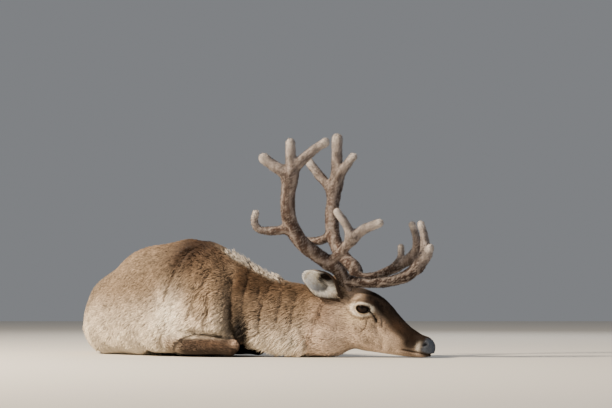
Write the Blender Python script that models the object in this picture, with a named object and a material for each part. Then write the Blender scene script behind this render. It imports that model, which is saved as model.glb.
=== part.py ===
"""A reindeer bull in velvet, lying on its breast with its chin on the ground.

The trunk and neck are one soft form along a curved line seen from above, the head has its own
straight frame, and the antlers are round branches along smooth curves. Each soft form is a
distance field, negative inside, and is turned into a closed surface and thinned. Thin cuts part
it where a person would name its parts. Metres, +Z up, the ground at z = 0.
"""

import bmesh
import bpy
import numpy as np
from mathutils import Matrix, Vector

# Driving sizes
GAP = 0.0003
ROOM = 0.0009
BODY_STEP = 0.0050
ANTLER_STEP = 0.0055
FORK_ROOM = 0.009
BODY_FACES = 3800
ANTLER_FACES = 1080
LEG_FACES = 200
# The middle of the whole animal's bounding box, which becomes the origin
PLACE = np.array([-0.2027, 0.3440, 0.0])

# The line of the back seen from above: its heading, in degrees right of +X, at places along it
WITHERS = np.array([-0.398, 0.120])
TURN_AT = [-1.00, -0.60, -0.30, 0.00, 0.20, 0.35, 0.80]
TURN = [88.0, 82.0, 68.0, 44.0, 26.0, 17.0, 17.0]
LINE_STEP = 0.005
LINE_AT = np.arange(-1.00, 0.80, LINE_STEP)

# Sections of trunk and neck at places along that line
SECTION_AT = [-0.86, -0.80, -0.72, -0.60, -0.45, -0.30, -0.15,
              0.00, 0.10, 0.20, 0.30, 0.41, 0.50, 0.59]
SECTION_TOP = [0.170, 0.224, 0.286, 0.350, 0.394, 0.408, 0.418,
               0.430, 0.410, 0.354, 0.302, 0.270, 0.255, 0.238]
SECTION_BOTTOM = [0.060, 0.020, 0.000, -0.020, -0.030, -0.030, -0.030,
                  -0.015, 0.005, 0.030, 0.018, -0.005, -0.005, 0.005]
SECTION_HALF = [0.062, 0.118, 0.160, 0.195, 0.208, 0.210, 0.198,
                0.168, 0.150, 0.130, 0.108, 0.092, 0.080, 0.060]
SECTION_TAPER = [0.34, 0.38, 0.42, 0.42, 0.36, 0.30, 0.30,
                 0.34, 0.32, 0.24, 0.20, 0.20, 0.24, 0.20]
SECTION_POWER = 2.1

# The head's own frame: forward along the face line, right, and up from it
POLL = np.array([0.114, -0.080])
HEAD_TURN = np.radians(20.0)
FACE_SLOPE = np.radians(20.0)
HEAD_FORWARD = 0.02
HEAD_UP = 0.16
EYE = np.array([0.087, 0.0655, 0.049])
EYE_RADIUS = 0.0235
LID_RADII = (0.0310, 0.0275, 0.0280)
SLIT_HALF = 0.0200
SLIT_RISE = 0.0135


def line_of_back():
    """Places and headings along the line of the back, as running sums of short steps."""
    heading = np.radians(np.interp(LINE_AT, TURN_AT, TURN))
    window = np.ones(21) / 21
    heading = np.convolve(np.pad(heading, 10, mode="edge"), window, mode="valid")
    ahead = np.stack([np.cos(heading), -np.sin(heading)], 1)
    places = np.cumsum(ahead * LINE_STEP, axis=0)
    return places + WITHERS - places[np.argmin(abs(LINE_AT))], ahead


LINE, AHEAD = line_of_back()


def straighten(x, y):
    """World x and y to the distance along the back and the distance to its right."""
    points = np.stack([np.ravel(x), np.ravel(y)], 1)
    along = np.empty(len(points))
    aside = np.empty(len(points))
    for start in range(0, len(points), 20000):
        part = points[start:start + 20000]
        span = ((part[:, None, :] - LINE[None, ::8, :]) ** 2).sum(2)
        near = np.argmin(span, 1) * 8
        for _ in range(2):
            ahead = ((part - LINE[near]) * AHEAD[near]).sum(1)
            near = np.clip(near + np.round(ahead / LINE_STEP).astype(int), 0, len(LINE) - 1)
        offset = part - LINE[near]
        along[start:start + 20000] = LINE_AT[near] + (offset * AHEAD[near]).sum(1)
        aside[start:start + 20000] = offset[:, 0] * AHEAD[near, 1] - offset[:, 1] * AHEAD[near, 0]
    return along.reshape(np.shape(x)), aside.reshape(np.shape(x))


def bend(along, aside, up):
    """The world place of a point given along the back, to its right and up."""
    along, aside, up = np.broadcast_arrays(np.asarray(along, float), aside, up)
    x = np.interp(along, LINE_AT, LINE[:, 0])
    y = np.interp(along, LINE_AT, LINE[:, 1])
    dx = np.interp(along, LINE_AT, AHEAD[:, 0])
    dy = np.interp(along, LINE_AT, AHEAD[:, 1])
    return np.stack([x + aside * dy, y - aside * dx, up], -1)


def head_axes():
    """Rows: forward along the face, right, and up from the face."""
    level = np.array([np.cos(HEAD_TURN), -np.sin(HEAD_TURN), 0.0])
    right = np.array([-np.sin(HEAD_TURN), -np.cos(HEAD_TURN), 0.0])
    up = np.array([0.0, 0.0, 1.0])
    forward = level * np.cos(FACE_SLOPE) - up * np.sin(FACE_SLOPE)
    above = level * np.sin(FACE_SLOPE) + up * np.cos(FACE_SLOPE)
    origin = np.array([POLL[0], POLL[1], 0.0]) + HEAD_FORWARD * level + HEAD_UP * up
    return np.array([forward, right, above]), origin, np.array([level, right, up])


HEAD_AXES, HEAD_ORIGIN, LEVEL_AXES = head_axes()


def to_head(points):
    return (points - HEAD_ORIGIN) @ HEAD_AXES.T


def from_head(points):
    return HEAD_ORIGIN + np.asarray(points, float) @ HEAD_AXES


def from_poll(points):
    """Points given forward of the poll, to the right and up from the ground, all level."""
    return np.array([POLL[0], POLL[1], 0.0]) + np.asarray(points, float) @ LEVEL_AXES


def curve(at, knots, values):
    """A smooth line through the values at the knots: cubic pieces with shared slopes."""
    knots = np.asarray(knots, float)
    values = np.asarray(values, float)
    at = np.clip(at, knots[0], knots[-1])
    left = np.clip(np.searchsorted(knots, at, side="right") - 1, 0, len(knots) - 2)
    width = np.diff(knots)
    rise = np.diff(values) / width
    shared = (rise[1:] * width[:-1] + rise[:-1] * width[1:]) / (width[1:] + width[:-1])
    slope = np.concatenate([rise[:1], shared, rise[-1:]])
    t = (at - knots[left]) / width[left]
    start = (2 * t ** 3 - 3 * t ** 2 + 1) * values[left]
    start += (t ** 3 - 2 * t ** 2 + t) * width[left] * slope[left]
    end = (3 * t ** 2 - 2 * t ** 3) * values[left + 1] + (t ** 3 - t ** 2) * width[left] * slope[left + 1]
    return start + end


def blend(a, b, width):
    """The nearer of two distances, with the corner between them rounded over a width."""
    t = np.clip(0.5 + 0.5 * (b - a) / width, 0, 1)
    return b + (a - b) * t - width * t * (1 - t)


def ball(points, centre, radii):
    """About the distance to an ellipsoid: scaled length, corrected by its own slope."""
    scaled = (points - np.asarray(centre)) / radii
    size = np.sqrt((scaled ** 2).sum(-1))
    slope = np.sqrt(((scaled / radii) ** 2).sum(-1))
    return size * (size - 1) / np.maximum(slope, 1e-9)


def round_cone(points, start, end, start_radius, end_radius):
    """The distance to a straight round bar whose radius runs evenly from one end to the other."""
    start = np.asarray(start, float)
    span = np.asarray(end, float) - start
    t = np.clip(((points - start) @ span) / (span @ span), 0, 1)
    gap = np.linalg.norm(points - start - t[..., None] * span, axis=-1)
    return gap - start_radius - (end_radius - start_radius) * t


def trunk_and_neck(points):
    """Sections with four-sided roundness along the back, and the masses over the limbs."""
    along, aside = straighten(points[..., 0], points[..., 1])
    up = points[..., 2]
    top = curve(along, SECTION_AT, SECTION_TOP)
    bottom = curve(along, SECTION_AT, SECTION_BOTTOM)
    half = curve(along, SECTION_AT, SECTION_HALF)
    taper = curve(along, SECTION_AT, SECTION_TAPER)
    middle = bottom + 0.33 * (top - bottom)
    height = np.where(up > middle, top - middle, middle - bottom)
    rise = (up - middle) / height
    waist = half * (1 - taper * np.clip(rise, 0, 1.2))
    ring = np.abs(aside / waist) ** SECTION_POWER + np.abs(rise) ** SECTION_POWER
    ring = (ring + 1e-12) ** (1 / SECTION_POWER)
    field = (ring - 1) * np.minimum(half, height)
    ends = np.maximum(SECTION_AT[0] - along, along - SECTION_AT[-1])
    field = -blend(-field, -ends, 0.06)
    both = np.stack([along, np.abs(aside), up], -1)
    trench = round_cone(both * (1.0, 0.42, 1.0), (-0.11, 0.0, 0.0), (0.23, 0.0, 0.0), 0.052, 0.052)
    field = -blend(-field, trench, 0.02)
    field = blend(field, ball(both, (-0.58, 0.100, 0.145), (0.20, 0.105, 0.150)), 0.07)
    field = blend(field, ball(both, (-0.40, 0.150, 0.10), (0.11, 0.065, 0.10)), 0.06)
    field = blend(field, ball(both, (0.03, 0.088, 0.21), (0.12, 0.070, 0.165)), 0.08)
    field = blend(field, ball(both, (0.12, 0.105, 0.14), (0.085, 0.055, 0.095)), 0.05)
    return blend(field, ball(both, (-0.04, 0.135, 0.085), (0.10, 0.050, 0.070)), 0.05)


HEAD_AT = [-0.07, -0.03, 0.00, 0.04, 0.08, 0.12, 0.16,
           0.20, 0.25, 0.30, 0.335, 0.362]
FACE_UP = [0.068, 0.090, 0.100, 0.106, 0.106, 0.101, 0.086,
           0.064, 0.041, 0.028, 0.016, -0.002]
JAW_DOWN = [-0.095, -0.115, -0.120, -0.120, -0.110, -0.105, -0.096,
            -0.087, -0.075, -0.061, -0.047, -0.034]
HEAD_HALF = [0.052, 0.060, 0.064, 0.066, 0.066, 0.060, 0.052,
             0.046, 0.041, 0.039, 0.038, 0.032]


def head(points):
    """Sections along the face line, with brow rims, cheeks, muzzle and the roots of the antlers."""
    local = to_head(points)
    forward = local[..., 0]
    aside = np.abs(local[..., 1])
    up = local[..., 2]
    top = curve(forward, HEAD_AT, FACE_UP)
    bottom = curve(forward, HEAD_AT, JAW_DOWN)
    half = curve(forward, HEAD_AT, HEAD_HALF)
    height = (top - bottom) / 2
    rise = (up - (top + bottom) / 2) / height
    waist = half * (1 - 0.16 * np.clip(-rise, 0, 1.2) ** 2 - 0.04 * np.clip(rise, 0, 1))
    ring = ((aside / waist) ** 2.3 + np.abs(rise) ** 2.3 + 1e-12) ** (1 / 2.3)
    field = (ring - 1) * np.minimum(half, height)
    ends = np.maximum(-0.075 - forward, forward - 0.358)
    field = -blend(-field, -ends, 0.035)
    both = np.stack([forward, aside, up], -1)
    field = blend(field, ball(both, (0.088, 0.050, 0.050), (0.042, 0.026, 0.033)), 0.03)
    field = blend(field, ball(both, (0.070, 0.038, -0.030), (0.075, 0.032, 0.055)), 0.03)
    field = blend(field, ball(both, (0.325, 0.020, -0.010), (0.036, 0.024, 0.034)), 0.02)
    return blend(field, round_cone(both, (0.0, 0.038, 0.060), (-0.012, 0.046, 0.076), 0.026, 0.023), 0.02)


def flesh(points):
    """Trunk, neck and head as one form, flat where it lies on the ground."""
    field = blend(trunk_and_neck(points), head(points), 0.05)
    return np.maximum(field, -points[..., 2])


# Antler branches: forward of the poll, out from the middle, up from the ground, radius.
# The right antler is the near one in the photograph; the two differ as the real ones do.
RIGHT_ANTLER = {
    "beam": [(0.046, 0.040, 0.240, 0.022), (0.036, 0.070, 0.296, 0.024), (-0.030, 0.130, 0.360, 0.026),
             (-0.080, 0.175, 0.412, 0.027), (-0.106, 0.202, 0.470, 0.027), (-0.110, 0.215, 0.520, 0.026),
             (-0.104, 0.228, 0.580, 0.026), (-0.092, 0.238, 0.640, 0.026)],
    "crown_back": [(-0.095, 0.236, 0.615, 0.022), (-0.110, 0.246, 0.645, 0.022),
                   (-0.145, 0.252, 0.670, 0.020), (-0.182, 0.262, 0.698, 0.020)],
    "crown_middle": [(-0.092, 0.238, 0.640, 0.022), (-0.090, 0.242, 0.680, 0.019),
    (-0.092, 0.238, 0.752, 0.017)],
    "crown_front": [(-0.092, 0.238, 0.635, 0.023), (-0.074, 0.235, 0.670, 0.021),
                    (-0.044, 0.225, 0.700, 0.019),
                    (-0.006, 0.210, 0.735, 0.017), (0.024, 0.202, 0.754, 0.016)],
    "back_tine": [(-0.112, 0.198, 0.455, 0.017), (-0.180, 0.212, 0.446, 0.015), (-0.220, 0.225, 0.455, 0.014),
                  (-0.232, 0.230, 0.478, 0.014), (-0.226, 0.230, 0.508, 0.013)],
    "bez_tine": [(-0.002, 0.105, 0.332, 0.018), (0.071, 0.130, 0.386, 0.017), (0.108, 0.150, 0.421, 0.020)],
    "bez_back": [(0.100, 0.148, 0.415, 0.017), (0.092, 0.160, 0.455, 0.016), (0.060, 0.180, 0.512, 0.014)],
    "bez_front": [(0.104, 0.149, 0.418, 0.018), (0.150, 0.147, 0.452, 0.017), (0.202, 0.140, 0.472, 0.015)],
    "brow_tine": [(0.040, 0.054, 0.276, 0.020), (0.100, 0.054, 0.266, 0.018), (0.160, 0.050, 0.264, 0.018),
                  (0.215, 0.045, 0.270, 0.019), (0.270, 0.040, 0.289, 0.021), (0.312, 0.032, 0.322, 0.020)],
    "brow_top": [(0.304, 0.033, 0.315, 0.019), (0.330, 0.024, 0.360, 0.020), (0.330, 0.016, 0.405, 0.017),
                 (0.314, 0.010, 0.470, 0.013)],
    "brow_side": [(0.318, 0.030, 0.340, 0.018), (0.345, 0.038, 0.360, 0.018), (0.358, 0.044, 0.388, 0.013)],
}
LEFT_ANTLER = {
    "beam": [(0.046, 0.040, 0.240, 0.022), (0.042, 0.075, 0.306, 0.024), (-0.013, 0.118, 0.350, 0.025),
             (-0.055, 0.152, 0.393, 0.025), (-0.083, 0.182, 0.445, 0.025), (-0.094, 0.204, 0.510, 0.025),
             (-0.095, 0.220, 0.570, 0.024), (-0.090, 0.231, 0.625, 0.024)],
    "crown_back": [(-0.094, 0.226, 0.580, 0.020), (-0.122, 0.239, 0.622, 0.018),
                   (-0.163, 0.245, 0.668, 0.017), (-0.200, 0.250, 0.712, 0.016)],
    "crown_middle": [(-0.090, 0.231, 0.620, 0.023), (-0.087, 0.236, 0.690, 0.021),
    (-0.085, 0.236, 0.795, 0.020)],
    "crown_front": [(-0.099, 0.230, 0.610, 0.020), (-0.078, 0.230, 0.650, 0.019),
                    (-0.049, 0.220, 0.690, 0.017),
                    (-0.014, 0.212, 0.726, 0.015)],
    "back_tine": [(-0.088, 0.180, 0.440, 0.017), (-0.140, 0.198, 0.420, 0.015), (-0.205, 0.210, 0.424, 0.014),
                  (-0.245, 0.215, 0.442, 0.012)],
    "brow_tine": [(0.040, 0.054, 0.282, 0.019), (0.105, 0.050, 0.284, 0.017), (0.157, 0.051, 0.300, 0.017),
                  (0.205, 0.056, 0.323, 0.018), (0.252, 0.060, 0.349, 0.018)],
    "brow_top": [(0.245, 0.060, 0.345, 0.017), (0.274, 0.060, 0.385, 0.016), (0.273, 0.055, 0.435, 0.014),
                 (0.262, 0.050, 0.470, 0.013)],
    "brow_side": [(0.200, 0.056, 0.321, 0.015), (0.214, 0.068, 0.357, 0.013), (0.212, 0.074, 0.390, 0.012)],
}


def smooth_route(points, count):
    """Points with radii along a smooth line through the given ones, evenly counted by length."""
    points = np.asarray(points, float)
    steps = np.linalg.norm(np.diff(points[:, :3], axis=0), axis=1)
    at = np.concatenate([[0.0], np.cumsum(steps)])
    places = np.linspace(0, at[-1], count)
    return np.stack([curve(places, at, points[:, column]) for column in range(points.shape[1])], 1)


def branch_field(points, route, span=0.012):
    """The distance to a bent round bar, as the nearest of many short straight ones."""
    length = np.linalg.norm(np.diff(route[:, :3], axis=0), axis=1).sum()
    fine = smooth_route(route, max(4, int(length / span)))
    field = np.full(points.shape[:-1], np.inf)
    for start, end in zip(fine[:-1], fine[1:]):
        field = np.minimum(field, round_cone(points, start[:3], end[:3], start[3], end[3]))
    return field


def antler_routes(branches, side):
    """The branches of one antler in world places: side is 1 for the right and -1 for the left."""
    routes = {}
    for name, route in branches.items():
        route = np.asarray(route, float)
        places = from_poll(route[:, :3] * (1.0, side, 1.0))
        routes[name] = np.hstack([places, route[:, 3:]])
    return routes


def antler_field(points, routes):
    """All the branches of one antler, with soft webs in their forks."""
    field = np.full(points.shape[:-1], 1.0)
    for route in routes.values():
        field = blend(field, branch_field(points, route), 0.014)
    return field


# Legs, along the back, to one side and up, with a radius. The fore legs fold under the breast with
# the knees forward. The animal lies on its right hip, so both hind feet come out on its left.
FORE_LEG = [(0.015, 0.132, 0.068, 0.044), (0.060, 0.142, 0.050, 0.042), (0.130, 0.134, 0.041, 0.035),
            (0.190, 0.120, 0.037, 0.031), (0.215, 0.112, 0.035, 0.033)]
FORE_FOOT = [(0.210, 0.104, 0.030, 0.026), (0.140, 0.080, 0.022, 0.019), (0.060, 0.068, 0.021, 0.018),
             (0.020, 0.066, 0.024, 0.022), (-0.025, 0.066, 0.020, 0.018)]
LEFT_HIND_LEG = [(-0.400, -0.175, 0.120, 0.060), (-0.560, -0.200, 0.080, 0.045),
                 (-0.655, -0.212, 0.052, 0.032),
                 (-0.685, -0.214, 0.045, 0.030)]
LEFT_HIND_FOOT = [(-0.680, -0.218, 0.034, 0.028), (-0.600, -0.240, 0.020, 0.021),
                  (-0.470, -0.262, 0.018, 0.019),
                  (-0.430, -0.266, 0.022, 0.023), (-0.385, -0.268, 0.018, 0.018)]
RIGHT_HIND_FOOT = [(-0.290, -0.060, 0.040, 0.022), (-0.250, -0.190, 0.019, 0.020),
                   (-0.235, -0.240, 0.022, 0.023), (-0.220, -0.280, 0.018, 0.018)]
CLAW_LENGTH = 0.068
CLAW_HALF = 0.014


def limb_route(points):
    """A leg's points in world places, with their radii."""
    points = np.asarray(points, float)
    return np.hstack([bend(points[:, 0], points[:, 1], points[:, 2]), points[:, 3:]])


def limb_field(points, routes):
    """The nearest of a leg's bent round bars, flat where it lies on the ground."""
    field = np.full(points.shape[:-1], 1.0)
    for route in routes:
        field = blend(field, branch_field(points, route, 0.02), 0.012)
    return np.maximum(field, -points[..., 2])


def tail_field(points):
    """A short tail that hangs from the rump, thick with hair and round at its end."""
    along, aside = straighten(points[..., 0], points[..., 1])
    local = np.stack([along, aside, points[..., 2]], -1)
    field = round_cone(local, (-0.860, 0.0, 0.200), (-0.905, 0.004, 0.140), 0.024, 0.026)
    return blend(field, round_cone(local, (-0.905, 0.004, 0.140), (-0.915, 0.008, 0.090), 0.026, 0.010), 0.02)


def sample(field, low, high, step, block=6):
    """Distances on a regular grid, worked out closely only in the blocks that the skin may cross."""
    low = np.asarray(low, float)
    count = np.ceil((np.asarray(high) - low) / (step * block)).astype(int)
    wide = step * block
    centres = [low[axis] + wide * (np.arange(count[axis]) + 0.5) - step / 2 for axis in range(3)]
    rough = field(np.stack(np.meshgrid(*centres, indexing="ij"), -1).reshape(-1, 3)).reshape(count)
    values = rough.repeat(block, 0).repeat(block, 1).repeat(block, 2)
    blocks = np.argwhere(np.abs(rough) < 1.2 * wide)
    inner = np.stack(np.meshgrid(*[np.arange(block)] * 3, indexing="ij"), -1).reshape(-1, 3)
    places = (blocks[:, None, :] * block + inner[None]).reshape(-1, 3)
    values[tuple(places.T)] = field(low + places * step)
    return values, low


def skin(values, low, step):
    """A closed surface where the values change sign: one point in each crossed cell of the grid."""
    inside = values < 0
    shape = np.array(values.shape) - 1
    corners = [(i, j, k) for i in (0, 1) for j in (0, 1) for k in (0, 1)]
    within = np.zeros(shape, np.int8)
    for i, j, k in corners:
        within += inside[i:shape[0] + i, j:shape[1] + j, k:shape[2] + k]
    cells = np.argwhere((within > 0) & (within < 8))
    number = np.full(shape, -1)
    number[tuple(cells.T)] = np.arange(len(cells))
    total = np.zeros((len(cells), 3))
    crossings = np.zeros(len(cells))
    for corner in corners:
        for axis in range(3):
            if corner[axis]:
                continue
            other = list(corner)
            other[axis] = 1
            a = values[tuple((cells + corner).T)]
            b = values[tuple((cells + other).T)]
            crossed = (a < 0) != (b < 0)
            point = np.tile(np.array(corner, float), (len(cells), 1))
            point[:, axis] += np.where(crossed, a / np.where(crossed, a - b, 1), 0)
            total += point * crossed[:, None]
            crossings += crossed
    points = low + (cells + total / crossings[:, None]) * step
    faces = []
    for axis in range(3):
        first, second = [other for other in range(3) if other != axis]
        lower = [slice(None)] * 3
        upper = [slice(None)] * 3
        lower[axis] = slice(0, -1)
        upper[axis] = slice(1, None)
        edges = np.argwhere(inside[tuple(lower)] != inside[tuple(upper)])
        edges = edges[(edges[:, first] > 0) & (edges[:, second] > 0)]
        edges = edges[(edges[:, first] < shape[first]) & (edges[:, second] < shape[second])]
        ring = []
        for back_first, back_second in ((1, 1), (0, 1), (0, 0), (1, 0)):
            cell = edges.copy()
            cell[:, first] -= back_first
            cell[:, second] -= back_second
            ring.append(number[tuple(cell.T)])
        ring = np.stack(ring, 1)
        outward = inside[tuple(lower)][tuple(edges.T)] != (axis == 1)
        ring[~outward] = ring[~outward][:, ::-1]
        faces.append(ring)
    return points, np.concatenate(faces)


def make_object(name, points, faces):
    """A mesh object at the origin, with its place in its mesh."""
    mesh = bpy.data.meshes.new(name)
    mesh.from_pydata(np.asarray(points).tolist(), [], [list(face) for face in faces])
    mesh.update()
    made = bpy.data.objects.new(name, mesh)
    bpy.context.collection.objects.link(made)
    return made


def remove(made):
    mesh = made.data
    bpy.data.objects.remove(made)
    bpy.data.meshes.remove(mesh)


def settle(made):
    """Apply the modifiers: the evaluated mesh becomes the object's own."""
    bpy.context.view_layer.update()
    graph = bpy.context.evaluated_depsgraph_get()
    mesh = bpy.data.meshes.new_from_object(made.evaluated_get(graph))
    old = made.data
    made.modifiers.clear()
    made.data = mesh
    bpy.data.meshes.remove(old)
    return made


def thin(made, faces, keep=None):
    """Collapse edges down to a number of triangles, with finer ones where keep is near 1."""
    modifier = made.modifiers.new("thin", "DECIMATE")
    count = sum(len(polygon.vertices) - 2 for polygon in made.data.polygons)
    modifier.ratio = min(1.0, faces / count)
    modifier.use_collapse_triangulate = True
    if keep is not None:
        group = made.vertex_groups.new(name="fine")
        for index, weight in enumerate(keep):
            group.add([index], float(weight), "REPLACE")
        modifier.vertex_group = "fine"
        modifier.vertex_group_factor = 1.0
        modifier.invert_vertex_group = True
    settle(made)
    made.vertex_groups.clear()
    for vertex in made.data.vertices:
        if vertex.co.z < 0.0012:
            vertex.co.z = 0.0
    return made


def combine(made, others, operation, solver="MANIFOLD"):
    """One Boolean of an object with several closed ones, which are then removed."""
    group = bpy.data.collections.new("pieces")
    bpy.context.scene.collection.children.link(group)
    for other in others:
        bpy.context.collection.objects.unlink(other)
        group.objects.link(other)
    modifier = made.modifiers.new("combine", "BOOLEAN")
    modifier.operation = operation
    modifier.operand_type = "COLLECTION"
    modifier.collection = group
    modifier.solver = solver
    settle(made)
    for other in others:
        remove(other)
    bpy.data.collections.remove(group)
    return made


def subtract(made, *others):
    """Take other objects' solids from one, and leave the others as they are."""
    for other in others:
        take(made, other)
    return made


def take(made, other):
    """Cut one closed solid out of an object."""
    modifier = made.modifiers.new("subtract", "BOOLEAN")
    modifier.operation = "DIFFERENCE"
    modifier.object = other
    modifier.solver = "MANIFOLD"
    return settle(made)


def grown(made):
    """A copy of an object with its skin moved out by the room that its neighbours leave."""
    points = np.array([vertex.co + vertex.normal * ROOM for vertex in made.data.vertices])
    return make_object("grown", points, [tuple(polygon.vertices) for polygon in made.data.polygons])


def loose_parts(made):
    """The connected shells of a mesh, as lists of points and faces, largest volume first."""
    mesh = made.data
    corner_a = np.empty(len(mesh.edges) * 2, int)
    mesh.edges.foreach_get("vertices", corner_a)
    pairs = corner_a.reshape(-1, 2)
    label = np.arange(len(mesh.vertices))
    while True:
        lowest = label.copy()
        np.minimum.at(lowest, pairs[:, 0], label[pairs[:, 1]])
        np.minimum.at(lowest, pairs[:, 1], label[pairs[:, 0]])
        lowest = lowest[lowest]
        if (lowest == label).all():
            break
        label = lowest
    points = np.empty(len(mesh.vertices) * 3)
    mesh.vertices.foreach_get("co", points)
    points = points.reshape(-1, 3)
    parts = []
    polygons = [tuple(polygon.vertices) for polygon in mesh.polygons]
    owner = np.array([label[polygon[0]] for polygon in polygons])
    for value in np.unique(owner):
        own = [polygons[index] for index in np.flatnonzero(owner == value)]
        used = sorted({corner for polygon in own for corner in polygon})
        place = {old: new for new, old in enumerate(used)}
        faces = [tuple(place[corner] for corner in polygon) for polygon in own]
        parts.append((points[used], faces, volume(points[used], faces)))
    return sorted(parts, key=lambda part: -part[2])


def volume(points, faces):
    """The enclosed volume: signed tetrahedra from the first point."""
    triangles = np.array([(face[0], face[i], face[i + 1]) for face in faces for i in range(1, len(face) - 1)])
    a, b, c = (points[triangles[:, corner]] - points[0] for corner in range(3))
    return float((a * np.cross(b, c)).sum() / 6)


def part_out(made, anchors):
    """Name each piece for the anchor nearest to it: the largest pieces, one for each anchor."""
    pieces = loose_parts(made)[:len(anchors)]
    named = []
    for name, anchor in anchors.items():
        gaps = [np.linalg.norm(piece[0] - anchor, axis=1).min() for piece in pieces]
        nearest = int(np.argmin(gaps))
        points, faces, _ = pieces.pop(nearest)
        named.append(make_object(name, points, faces))
    remove(made)
    return named


def disc(centre, normal, radius, thickness=GAP, sides=16):
    """A thin round cutter across a limb, a branch or the neck."""
    data = bmesh.new()
    turn = Vector(normal).to_track_quat("Z", "Y").to_matrix().to_4x4()
    bmesh.ops.create_cone(data, cap_ends=True, segments=sides, radius1=radius, radius2=radius,
                          depth=thickness, matrix=Matrix.Translation(Vector(centre)) @ turn)
    mesh = bpy.data.meshes.new("cutter")
    data.to_mesh(mesh)
    data.free()
    made = bpy.data.objects.new("cutter", mesh)
    bpy.context.collection.objects.link(made)
    return made


# Ways to part a piece, tried in turn: the solver, and the disc's radius as a share of what was asked
SEVER_TRIES = [("MANIFOLD", 1.0), ("MANIFOLD", 1.3), ("MANIFOLD", 1.8), ("EXACT", 1.0), ("EXACT", 1.3)]


def sever(made, centre, normal, radius):
    """Cut a piece across with the smallest disc that parts it, and leave it whole if none does."""
    before = made.data
    whole = len(loose_parts(made))
    for solver, reach in SEVER_TRIES:
        made.data = before.copy()
        combine(made, [disc(centre, normal, radius * reach)], "DIFFERENCE", solver)
        if len(loose_parts(made)) > whole:
            break
    bpy.data.meshes.remove(before)
    return made


def clear_place(routes, name, from_end=False):
    """The first place along a branch that is well clear of the others, and its direction and radius."""
    length = np.linalg.norm(np.diff(routes[name][:, :3], axis=0), axis=1).sum()
    fine = smooth_route(routes[name], int(length / 0.004))
    others = [branch_field(fine[:, :3], route) for key, route in routes.items() if key != name]
    room = np.min(others, axis=0) - fine[:, 3]
    order = range(len(fine) - 2, 0, -1) if from_end else range(1, len(fine) - 1)
    index = next(place for place in order if room[place] > FORK_ROOM)
    return fine[index, :3], fine[index + 1, :3] - fine[index - 1, :3], fine[index, 3] * 1.35


def on_skin(field, inner, outer, rounds=22):
    """The place between an inner and an outer point where the field changes sign, by halving."""
    inner = np.array(inner, float)
    outer = np.array(outer, float)
    for _ in range(rounds):
        middle = (inner + outer) / 2
        within = (field(middle) < 0)[..., None]
        inner = np.where(within, middle, inner)
        outer = np.where(within, outer, middle)
    return (inner + outer) / 2


def unit(vectors):
    return vectors / np.linalg.norm(vectors, axis=-1, keepdims=True)


def solid(name, points, faces):
    """An object whose faces all look outward."""
    if volume(points, faces) < 0:
        faces = [face[::-1] for face in faces]
    return make_object(name, points, faces)


def rings(name, stations):
    """A closed tube through rings of points that have the same count each, capped at both ends."""
    stations = np.asarray(stations)
    count, sides = stations.shape[:2]
    faces = []
    for station in range(count - 1):
        for side in range(sides):
            after = (side + 1) % sides
            a, b = station * sides + side, station * sides + after
            faces += [(a, b, b + sides), (a, b + sides, a + sides)]
    last = (count - 1) * sides
    faces += [(0, side + 1, side) for side in range(1, sides - 1)]
    faces += [(last, last + side, last + side + 1) for side in range(1, sides - 1)]
    return solid(name, stations.reshape(-1, 3), faces)


def lock(field, root, out, lie, length, width, thickness, stand, floor=0.004):
    """One flat tapered lock: sunk at its root, it follows the skin along its lie and lifts at its tip."""
    t = np.array([0.0, 0.30, 0.68, 1.0])[:, None]
    ground = root + lie * length * t
    ground = on_skin(field, ground - out * 0.05, ground + out * 0.05, 14)
    height = np.array([-0.010, 0.35 * stand, 0.75 * stand, stand])[:, None]
    path = ground + out * height
    path[:, 2] = np.maximum(path[:, 2], floor)
    ahead = unit(np.gradient(path, axis=0))
    flat = unit(np.cross(ahead, out))
    over = np.cross(flat, ahead)
    half = width / 2 * np.array([0.75, 1.0, 0.80, 0.14])[:, None]
    deep = thickness / 2 * np.array([0.9, 1.1, 0.8, 0.25])[:, None]
    low = over * deep * 0.6
    ring = [path + flat * half - low, path + over * deep, path - flat * half - low]
    return rings("lock", np.stack(ring, 1))


def nape_locks(draw):
    """Upright pale tufts along the crest of the neck, in rows that overlap."""
    pieces = []
    for row, aside in enumerate((-0.024, 0.0, 0.024)):
        for along in np.arange(0.165 + 0.014 * (row % 2), 0.37, 0.029):
            side = aside + draw.uniform(-0.003, 0.003)
            root = on_skin(flesh, bend(along, side * 0.5, 0.15), bend(along, side, 0.50))
            behind = unit(bend(along - 0.01, side, 0.0) - bend(along, side, 0.0))
            outer = unit(bend(along, aside + 1e-4, 0.0) - bend(along, 0.0, 0.0)) * np.abs(aside) / 0.024
            out = unit(np.array([0.0, 0.0, 1.0]) + outer * 0.35)
            lie = unit(behind + np.array([0.0, 0.0, 0.25]))
            length = draw.uniform(0.040, 0.050)
            pieces.append(lock(flesh, root, out, lie, length, draw.uniform(0.023, 0.027), 0.008, 0.015))
    return pieces


def throat_locks(draw):
    """The pale fringe under the neck: locks that hang back and down on both sides."""
    pieces = []
    for side in (1, -1):
        for row, up in enumerate((0.092, 0.068, 0.044)):
            for along in np.arange(0.270 + 0.020 * (row % 2), 0.48, 0.043):
                place = along + draw.uniform(-0.005, 0.005)
                root = on_skin(flesh, bend(place, 0.0, up), bend(place, side * 0.25, up))
                out = unit(bend(place, side * 0.25, up) - bend(place, 0.0, up))
                back = unit(bend(place - 0.01, 0.0, 0.0) - bend(place, 0.0, 0.0))
                lie = unit(back + np.array([0.0, 0.0, -0.55]))
                length = draw.uniform(0.062, 0.080)
                pieces.append(lock(flesh, root, out, lie, length, draw.uniform(0.032, 0.036), 0.009, 0.009))
    return pieces


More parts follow.
